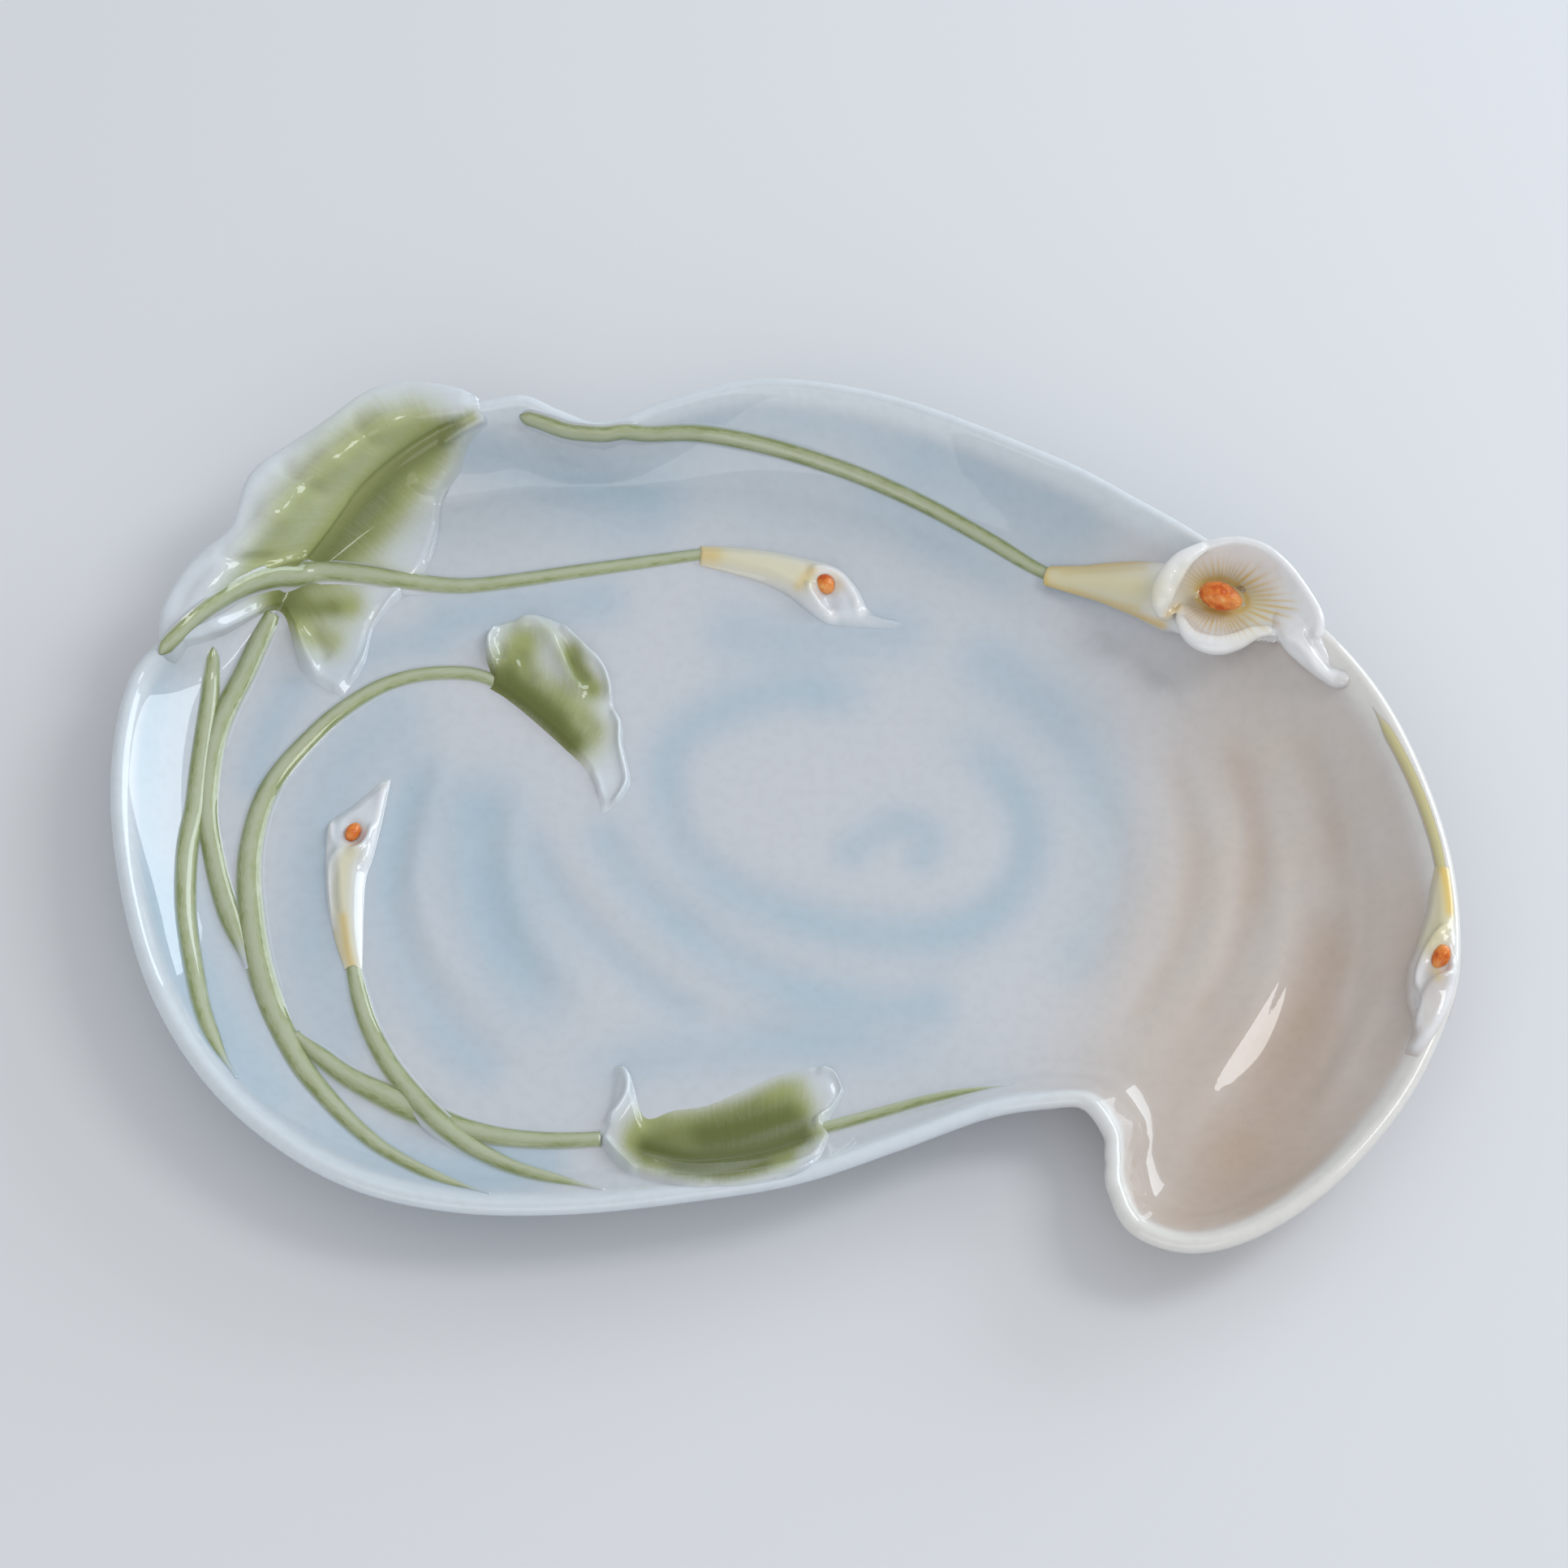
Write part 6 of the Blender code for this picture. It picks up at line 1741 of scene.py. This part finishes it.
@dataclass(frozen=True)
class OpenFlower:
    """A rolled petal that opens from a tube on the wall into a wide mouth over the rim."""

    around: int = 200
    funnel_rings: int = 34
    roll_steps: int = 9
    outer_rings: int = 10
    funnel_power: float = 1.30
    throat: tuple[float, float, float] = (1503, 738, 0.0186)
    throat_reach: tuple[float, float] = (0.0050, 0.0036)
    # clockwise from the cleft: pixel, height, radius of the roll, turn round the tube in degrees
    mouth: Rows = (
        (1450, 750, 0.0208, 0.0007, 120), (1440, 763, 0.0208, 0.0013, 112), (1427, 760, 0.0214, 0.0020, 106),
        (1418, 740, 0.0228, 0.0024, 98), (1423, 714, 0.0243, 0.0025, 92), (1442, 689, 0.0257, 0.0022, 80),
        (1467, 674, 0.0271, 0.0017, 62), (1495, 665, 0.0285, 0.0012, 45), (1528, 662, 0.0292, 0.0010, 28),
        (1562, 672, 0.0292, 0.0010, 8), (1590, 695, 0.0286, 0.0010, -10), (1611, 722, 0.0278, 0.0010, -28),
        (1628, 750, 0.0268, 0.0011, -46), (1633, 770, 0.0258, 0.0012, -62), (1626, 788, 0.0246, 0.0012, -80),
        (1608, 797, 0.0234, 0.0012, -100), (1592, 795, 0.0222, 0.0011, -120), (1577, 788, 0.0211, 0.0011, -138),
        (1557, 784, 0.0202, 0.0012, -150),
        (1538, 790, 0.0195, 0.0013, -162), (1518, 801, 0.0189, 0.0015, -176), (1496, 804, 0.0187, 0.0016, -190),
        (1475, 797, 0.0189, 0.0016, -204), (1460, 781, 0.0195, 0.0015, -218), (1453, 765, 0.0202, 0.0011, -230),
    )
    # the tube from its neck to the stem: middle in shares of the dish, height, radius
    tube: Rows = (
        (0.3060, 0.2450, 0.0151, 0.0063), (0.2950, 0.2535, 0.0144, 0.0059), (0.2820, 0.2622, 0.0137, 0.0053),
        (0.2660, 0.2712, 0.0127, 0.0045), (0.2500, 0.2794, 0.0116, 0.0036), (0.2340, 0.2862, 0.0105, 0.0028),
        (0.2180, 0.2934, 0.0096, 0.0022), (0.2070, 0.2985, 0.0090, 0.0018),
    )
    tube_rings: int = 34
    tube_width: float = 1.28
    tube_lean: float = 0.12
    # coils of clay that are smoothed into the petal: pixel, height, radius
    coils: tuple[Rows, ...] = (
        ((1578, 742, 0.0186, 0.0024), (1590, 762, 0.0198, 0.0040), (1603, 784, 0.0208, 0.0044),
         (1616, 803, 0.0208, 0.0037), (1627, 818, 0.0206, 0.0029), (1637, 829, 0.0204, 0.0023),
         (1647, 836, 0.0206, 0.0022), (1653, 837, 0.0210, 0.0021)),
        ((1480, 676, 0.0274, 0.0013), (1457, 691, 0.0266, 0.0021), (1438, 718, 0.0250, 0.0026),
         (1431, 741, 0.0233, 0.0022), (1432, 756, 0.0216, 0.0012)),
        ((1455, 764, 0.0200, 0.0012), (1464, 780, 0.0198, 0.0016), (1480, 792, 0.0195, 0.0019),
         (1502, 796, 0.0194, 0.0020), (1524, 791, 0.0198, 0.0018), (1545, 781, 0.0205, 0.0014),
         (1562, 777, 0.0211, 0.0012)),
    )
    coil_rings: int = 48
    coil_sides: int = 27
    cap_rings: int = 6
    flatness: float = 0.72
    voxel: float = 0.00026
    smoothing: int = 14
    sunk: float = 0.0022
    folds: tuple[Stroke, ...] = (
        Stroke((1460, 690, 1448, 710, 1444, 735), 8, -0.0004),
        Stroke((1470, 775, 1500, 785, 1535, 775, 1560, 762), 12, 0.0005),
        Stroke((1300, 712, 1360, 715, 1430, 725), 9, 0.0003),
        Stroke((1572, 782, 1596, 792, 1612, 808, 1624, 824, 1646, 838), 6, 0.0006, 0.2),
        Stroke((1606, 772, 1620, 792, 1632, 808, 1648, 826), 5, -0.0009, 0.2),
    )
    brushed: tuple[tuple[str, tuple[Stroke, ...]], ...] = (
        ("yellow", (Stroke((1288, 710, 1340, 713, 1400, 724), 34, 1.0),
                    Stroke((1484, 731, 1503, 738, 1532, 745), 35, 1.0))),
        ("ochre", (Stroke((1290, 698, 1340, 696, 1390, 692, 1430, 686), 5, 0.75),
                   Stroke((1310, 706, 1350, 704, 1410, 700), 4, 0.30),
                   Stroke((1290, 724, 1340, 742, 1390, 758, 1430, 770), 8, 0.75),
                   Stroke((1320, 728, 1365, 742, 1400, 750), 5, 0.35),
                   Stroke((1286, 700, 1286, 722), 6, 0.70),
                   Stroke((1476, 726, 1490, 714, 1515, 716, 1532, 730, 1536, 747, 1515, 755, 1490, 751, 1476, 738), 5,
                          0.85),
                   Stroke((1440, 757, 1452, 748), 6, 0.60))),
        ("streaks", (Stroke((1480, 715, 1510, 710, 1545, 722, 1565, 745, 1550, 760, 1510, 766, 1482, 756), 17, 1.0),
                     Stroke((1545, 740, 1585, 748), 12, 0.70))),
        # the first white stroke, along the middle of the tube, is a painted highlight
        ("white", (Stroke((1316, 713, 1360, 714, 1405, 722), 8, 0.30),
                   Stroke((1430, 755, 1430, 705, 1470, 680, 1530, 672, 1590, 705, 1620, 760, 1640, 830, 1590, 800,
                          1560, 775, 1500, 795, 1460, 770), 26, 0.97),
                   Stroke((1475, 700, 1530, 695, 1590, 740, 1590, 765, 1500, 775), 30, 0.90))),
    )

    def coil(self, rows: Rows) -> bpy.types.Object:
        """One coil of clay with round ends."""
        table = evenly(rows, self.coil_rings)
        middle = SIGHT.at_height(table[:, 0:2], table[:, 2])
        size = table[:, 3:4]
        ahead = unit(np.gradient(middle, axis=0))
        side = unit(np.cross(ahead, (0.0, 0.0, 1.0)))
        top = np.cross(side, ahead)
        spin = np.linspace(0, 2 * math.pi, self.coil_sides + 1)[:, None]
        stack = []
        for turn in np.linspace(-0.5 * math.pi, 0, self.cap_rings + 1)[:-1]:
            stack.append((middle[0] + math.sin(turn) * size[0] * ahead[0], math.cos(turn) * size[0], 0))
        stack += [(middle[i], size[i], i) for i in range(len(table))]
        for turn in np.linspace(0, 0.5 * math.pi, self.cap_rings + 1)[1:]:
            stack.append((middle[-1] + math.sin(turn) * size[-1] * ahead[-1], math.cos(turn) * size[-1], -1))
        loops = np.array([at + reach * (np.cos(spin) * side[i] + self.flatness * np.sin(spin) * top[i])
                          for at, reach, i in stack])
        thing = sheet_on("petal-coil", loops, looped=False)
        weld(thing, closed=True)
        return thing

    def fuse(self, thing: bpy.types.Object, coils: list[bpy.types.Object]) -> None:
        """Joins the coils to the petal and smooths the clay over, and lays a polar UV map round the throat."""
        only(thing)
        for coil in coils:
            coil.select_set(True)
        bpy.ops.object.join()
        step = thing.modifiers.new("fuse", "REMESH")
        step.mode = "VOXEL"
        step.voxel_size = self.voxel
        bpy.ops.object.modifier_apply(modifier=step.name)
        step = thing.modifiers.new("sponge", "SMOOTH")
        step.iterations = self.smoothing
        bpy.ops.object.modifier_apply(modifier=step.name)
        mesh = thing.data
        mesh.vertices.foreach_set("co", Basin().kept_within(points_of(thing), self.sunk).ravel())
        mesh.update()
        away = points_of(thing) - SIGHT.at_height([self.throat[0:2]], self.throat[2])[0]
        turn = (np.arctan2(away[:, 1], away[:, 0]) / (2 * math.pi) + 0.15) % 1.0
        far = np.linalg.norm(away, axis=1) / 0.02
        corners = np.empty(len(mesh.loops), int)
        mesh.loops.foreach_get("vertex_index", corners)
        first = np.array([face.loop_start for face in mesh.polygons])
        sizes = np.array([face.loop_total for face in mesh.polygons])
        start = np.repeat(turn[corners[first]], sizes)
        near = turn[corners] + np.round(start - turn[corners])
        for layer in list(mesh.uv_layers):
            mesh.uv_layers.remove(layer)
        layer = mesh.uv_layers.new(name="UVMap")
        layer.data.foreach_set("uv", np.column_stack([near, far[corners]]).ravel().astype(np.float32))

    def rings(self) -> list[Array]:
        """Closed rings from the middle of the throat, over the mouth and down the tube to the stem."""
        table = smooth_rows(self.mouth, np.linspace(0, len(self.mouth), self.around + 1)[:-1], closed=True)
        turns = np.interp(np.linspace(0, len(self.mouth), self.around + 1)[:-1],
                          np.arange(len(self.mouth) + 1), [row[4] for row in self.mouth] + [-240.0])
        radius = table[:, 3:4]
        outer = SIGHT.at_height(table[:, 0:2], table[:, 2] - table[:, 3])
        middle = SIGHT.at_height([self.throat[0:2]], self.throat[2])[0]
        up = np.array([0.0, 0.0, 1.0])
        inward = unit(np.cross(up, -ring_ahead(outer)) * (1, 1, 0))
        towards = unit((middle - outer) * (1, 1, 0))
        inward = unit(0.5 * inward * np.sign((inward * towards).sum(axis=1, keepdims=True)) + 0.5 * towards)
        core = outer + radius * inward
        roll = [
            core + radius * (math.cos(turn) * inward + math.sin(turn) * up)
            for turn in np.radians(np.linspace(35, 250, self.roll_steps))
        ]
        ellipse = towards * (1, 1, 0)
        long, short = self.throat_reach
        reach = 1 / np.sqrt((ellipse[:, 0:1] / long) ** 2 + (ellipse[:, 1:2] / short) ** 2)
        throat = middle - reach * ellipse
        floor = [middle + share * (throat - middle) - 0.0004 * (1 - share**2) * up for share in np.linspace(0, 1, 8)]
        half = throat + 0.5 * (roll[0] - throat) * (1, 1, 2 * 0.5**self.funnel_power)
        funnel = []
        for share in np.linspace(0, 1, self.funnel_rings)[1:-1]:
            before = (1 - share) * (1 - 2 * share) * throat
            funnel.append(before + 4 * share * (1 - share) * half + share * (2 * share - 1) * roll[0])
        tube = self.tube_rings_along(np.radians(turns))
        shell = []
        for share in np.linspace(1, 0, self.outer_rings + 1)[1:-1]:
            shell.append(tube[0] + share**1.15 * (roll[-1] - tube[0]))
        return floor + funnel + roll + shell + tube

    def tube_rings_along(self, turns: Array) -> list[Array]:
        """The rings of the tube, from its neck to the stem."""
        rows = evenly(self.tube, self.tube_rings)
        middles = np.column_stack([rows[:, 0] * Basin.length, rows[:, 1] * Basin.width, rows[:, 2]])
        axes = unit(np.gradient(middles, axis=0))
        out = []
        for middle, axis, size in zip(middles, axes, rows[:, 3]):
            back = unit(np.cross(axis, (0.0, 0.0, 1.0)))
            back = back * np.sign(back[1])
            top = upward(unit(np.cross(back, axis)))
            middle = middle + self.tube_lean * size * back
            wide = self.tube_width * np.cos(turns)[:, None] * back
            out.append(middle + size * (wide + 0.85 * np.sin(turns)[:, None] * top))
        end = out[-1].mean(axis=0)
        return out + [end + share * (out[-1] - end) - 0.0004 * (1 - share) * -axes[-1] for share in (0.6, 0.0)]

    def build(self, material: bpy.types.Material) -> bpy.types.Object:
        """The finished petal."""
        thing = sheet_on("open-flower-petal", np.array(self.rings()), looped=True)
        weld(thing, closed=True)
        self.fuse(thing, [self.coil(rows) for rows in self.coils])
        points = points_of(thing)
        normals = np.empty(len(points) * 3)
        thing.data.vertex_normals.foreach_get("vector", normals)
        normals = normals.reshape(-1, 3)
        seen = SIGHT.pixels(points)
        facing = soft_step(-(normals @ SIGHT.ahead), 0.05, 0.35)
        points = points + (facing * total(self.folds, seen))[:, None] * normals
        thing.data.vertices.foreach_set("co", points.ravel())
        thing.data.update()
        laid = {name: covered(strokes, seen) for name, strokes in self.brushed}
        mid = np.array(self.throat[0:2])
        turn = np.arctan2(seen[:, 1] - mid[1], seen[:, 0] - mid[0])
        rays = 0.5 + 0.5 * np.sin(44 * turn + 3.0 * np.sin(5 * turn))
        laid["ochre"] = np.maximum(laid["ochre"], laid.pop("streaks") * rays**3 * (0.80 + 0.2 * np.sin(7 * turn)))
        for name in ("yellow", "ochre"):
            laid[name] = laid[name] * facing
        shares = {**dict.fromkeys(("green", "deep"), np.zeros(len(points))), **laid}
        keep_shares(thing, **shares, **Washes.shares(points))
        finish_piece(thing, "petal_glaze", material, "rim_flower_spathe")
        return thing


@dataclass(frozen=True)
class Spadix:
    """A knob of orange clay pressed into a flower, with a fine bumpy skin.

    Attributes:
        node: the solid that it stands for.
        spot: its middle, in pixels.
        tip: where its pale end points, in pixels.
        length, width: its size in metres.
        rise: its middle above what it lies on, in metres.
        level: the height of its middle, where it doesn't lie on the basin.
        bump: the height of its bumps, in metres.
        segments, rings: faces round it and along it.
    """

    node: str
    spot: tuple[float, float]
    tip: tuple[float, float]
    length: float
    width: float
    rise: float = 0.0010
    level: float | None = None
    bump: float = 0.00010
    segments: int = 56
    rings: int = 36

    def build(self, ground: Ground, material: bpy.types.Material) -> bpy.types.Object:
        """The finished knob."""
        ends = np.array([self.spot, self.tip], float)
        if self.level is None:
            middle, tip = ground.seen(ends, self.rise)
        else:
            middle, tip = SIGHT.at_height(ends, self.level)
        bpy.ops.object.select_all(action="DESELECT")
        bpy.ops.mesh.primitive_uv_sphere_add(segments=self.segments, ring_count=self.rings, radius=1.0)
        thing = bpy.context.object
        thing.name = thing.data.name = self.node.replace("_", "-") + "-knob"
        points = points_of(thing)
        ahead = points[:, 2]
        turn = np.arctan2(points[:, 1], points[:, 0])
        knobs = np.sin(9 * turn + 2.2 * np.sin(6 * ahead)) * np.sin(11 * ahead + 1.3 * np.sin(3 * turn))
        swell = 1 + 0.05 * np.sin(2 * turn + 3 * ahead) - 0.10 * ahead
        shape = points * np.column_stack([swell, swell, np.ones(len(points))])
        size = np.array([self.width / 2, self.width / 2, self.length / 2])
        shape = shape * size + points * (self.bump * knobs)[:, None]
        axis = Vector(tip - middle).to_track_quat("Z", "Y").to_matrix()
        placed = shape @ np.array(axis).T + middle
        thing.data.vertices.foreach_set("co", placed.ravel())
        thing.data.update()
        keep_shares(thing, tip=0.5 + 0.5 * ahead)
        finish_piece(thing, "spadix_glaze", material, self.node)
        return thing


SPADICES = (
    Spadix("rim_flower_spadix", (1504, 735), (1530, 744), 0.0088, 0.0053, level=0.0222, bump=0.00012),
    Spadix("centre_bud_spadix", (1017, 720), (1023, 730), 0.0044, 0.0036, rise=0.0011, bump=0.00006),
    Spadix("left_bud_spadix", (435, 1025), (441, 1014), 0.0042, 0.0028, rise=0.0012, bump=0.00005),
    Spadix("side_bud_spadix", (1776, 1180), (1771, 1194), 0.0056, 0.0036, rise=0.0008, bump=0.00007),
)


# ---------------------------------------------------------------- the studio


@dataclass(frozen=True)
class Studio:
    """A pale floor and soft lamps, at a level at which colours render about as written."""

    floor_colour: tuple = screen(214, 216, 220)
    sky_colour: tuple = (0.92, 0.94, 0.96, 1.0)
    sky_strength: float = 0.65

    def floor(self) -> None:
        """The table, which is not part of the dish."""
        bpy.ops.object.select_all(action="DESELECT")
        bpy.ops.mesh.primitive_plane_add(size=8.0, location=(0, 0, -0.0002))
        plane = bpy.context.object
        plane.name = "table"
        bench = Bench("table", Finish(roughness=0.7, coat=0.0, subsurface=0.0, wave=0.0))
        plane.data.materials.append(bench.done(self.floor_colour))

    def sky(self) -> None:
        """Even light from all round."""
        world = bpy.data.worlds.new("room")
        bpy.context.scene.world = world
        world.use_nodes = True
        shade = world.node_tree.nodes["Background"]
        shade.inputs["Color"].default_value = self.sky_colour
        shade.inputs["Strength"].default_value = self.sky_strength

    def lamp(self, name: str, where: tuple[float, float, float], size: tuple[float, float], power: float,
             colour: tuple[float, float, float] = (1.0, 1.0, 1.0)) -> None:
        """A soft box that faces the dish.

        Args:
            name: its name.
            where: its place.
            size: its width and height.
            power: in watts.
            colour: of its light.
        """
        data = bpy.data.lights.new(name, "AREA")
        data.shape = "RECTANGLE"
        data.size, data.size_y = size
        data.energy = power
        data.color = colour
        lamp = bpy.data.objects.new(name, data)
        bpy.context.scene.collection.objects.link(lamp)
        lamp.location = where
        lamp.rotation_euler = (-Vector(where)).to_track_quat("-Z", "Y").to_euler()

    def build(self) -> None:
        """The floor, the sky and the lamps, shown by the plain view transform."""
        bpy.context.scene.view_settings.view_transform = "Standard"
        self.floor()
        self.sky()
        self.lamp("key_box", (0.92, 0.72, 0.40), (0.86, 0.60), 7.6, (0.84, 0.94, 1.0))
        self.lamp("side_box", (0.74, 0.10, 0.92), (0.34, 0.44), 2.8)
        self.lamp("front_box", (-0.30, -1.70, 1.20), (2.40, 1.50), 12.0)


def main() -> None:
    """Builds the dish, piece by piece, and the studio round it."""
    logging.basicConfig(level=logging.INFO, format="%(message)s")
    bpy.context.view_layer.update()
    SIGHT.camera()
    Studio().build()
    basin, paint = Basin(), Paint()
    shell = Shell(basin)
    ground = Ground(shell.under_pieces())
    shell.build(paint)
    FootRing(basin).build(paint)
    leaf_glaze, stalk_glaze, petal_glaze = paint.leaf(), paint.stalk(), paint.petal()
    leaves = {leaf.node: leaf.build(ground, leaf_glaze) for leaf in LEAVES}
    laid = {stalk.node: stalk.build(ground, stalk_glaze) for stalk in STALKS}
    CENTRE_BUD_STEM.build(ground, stalk_glaze, ground.with_piece(leaves["rim_leaf"]))
    LEFT_BUD_STEM.build(ground, stalk_glaze, ground.with_piece(laid["front_leaf_stalk"]))
    for bud in BUDS:
        bud.build(ground, petal_glaze)
    OpenFlower().build(petal_glaze)
    spadix_glaze = paint.spadix()
    for spadix in SPADICES:
        spadix.build(ground, spadix_glaze)


if __name__ == "__main__":
    main()
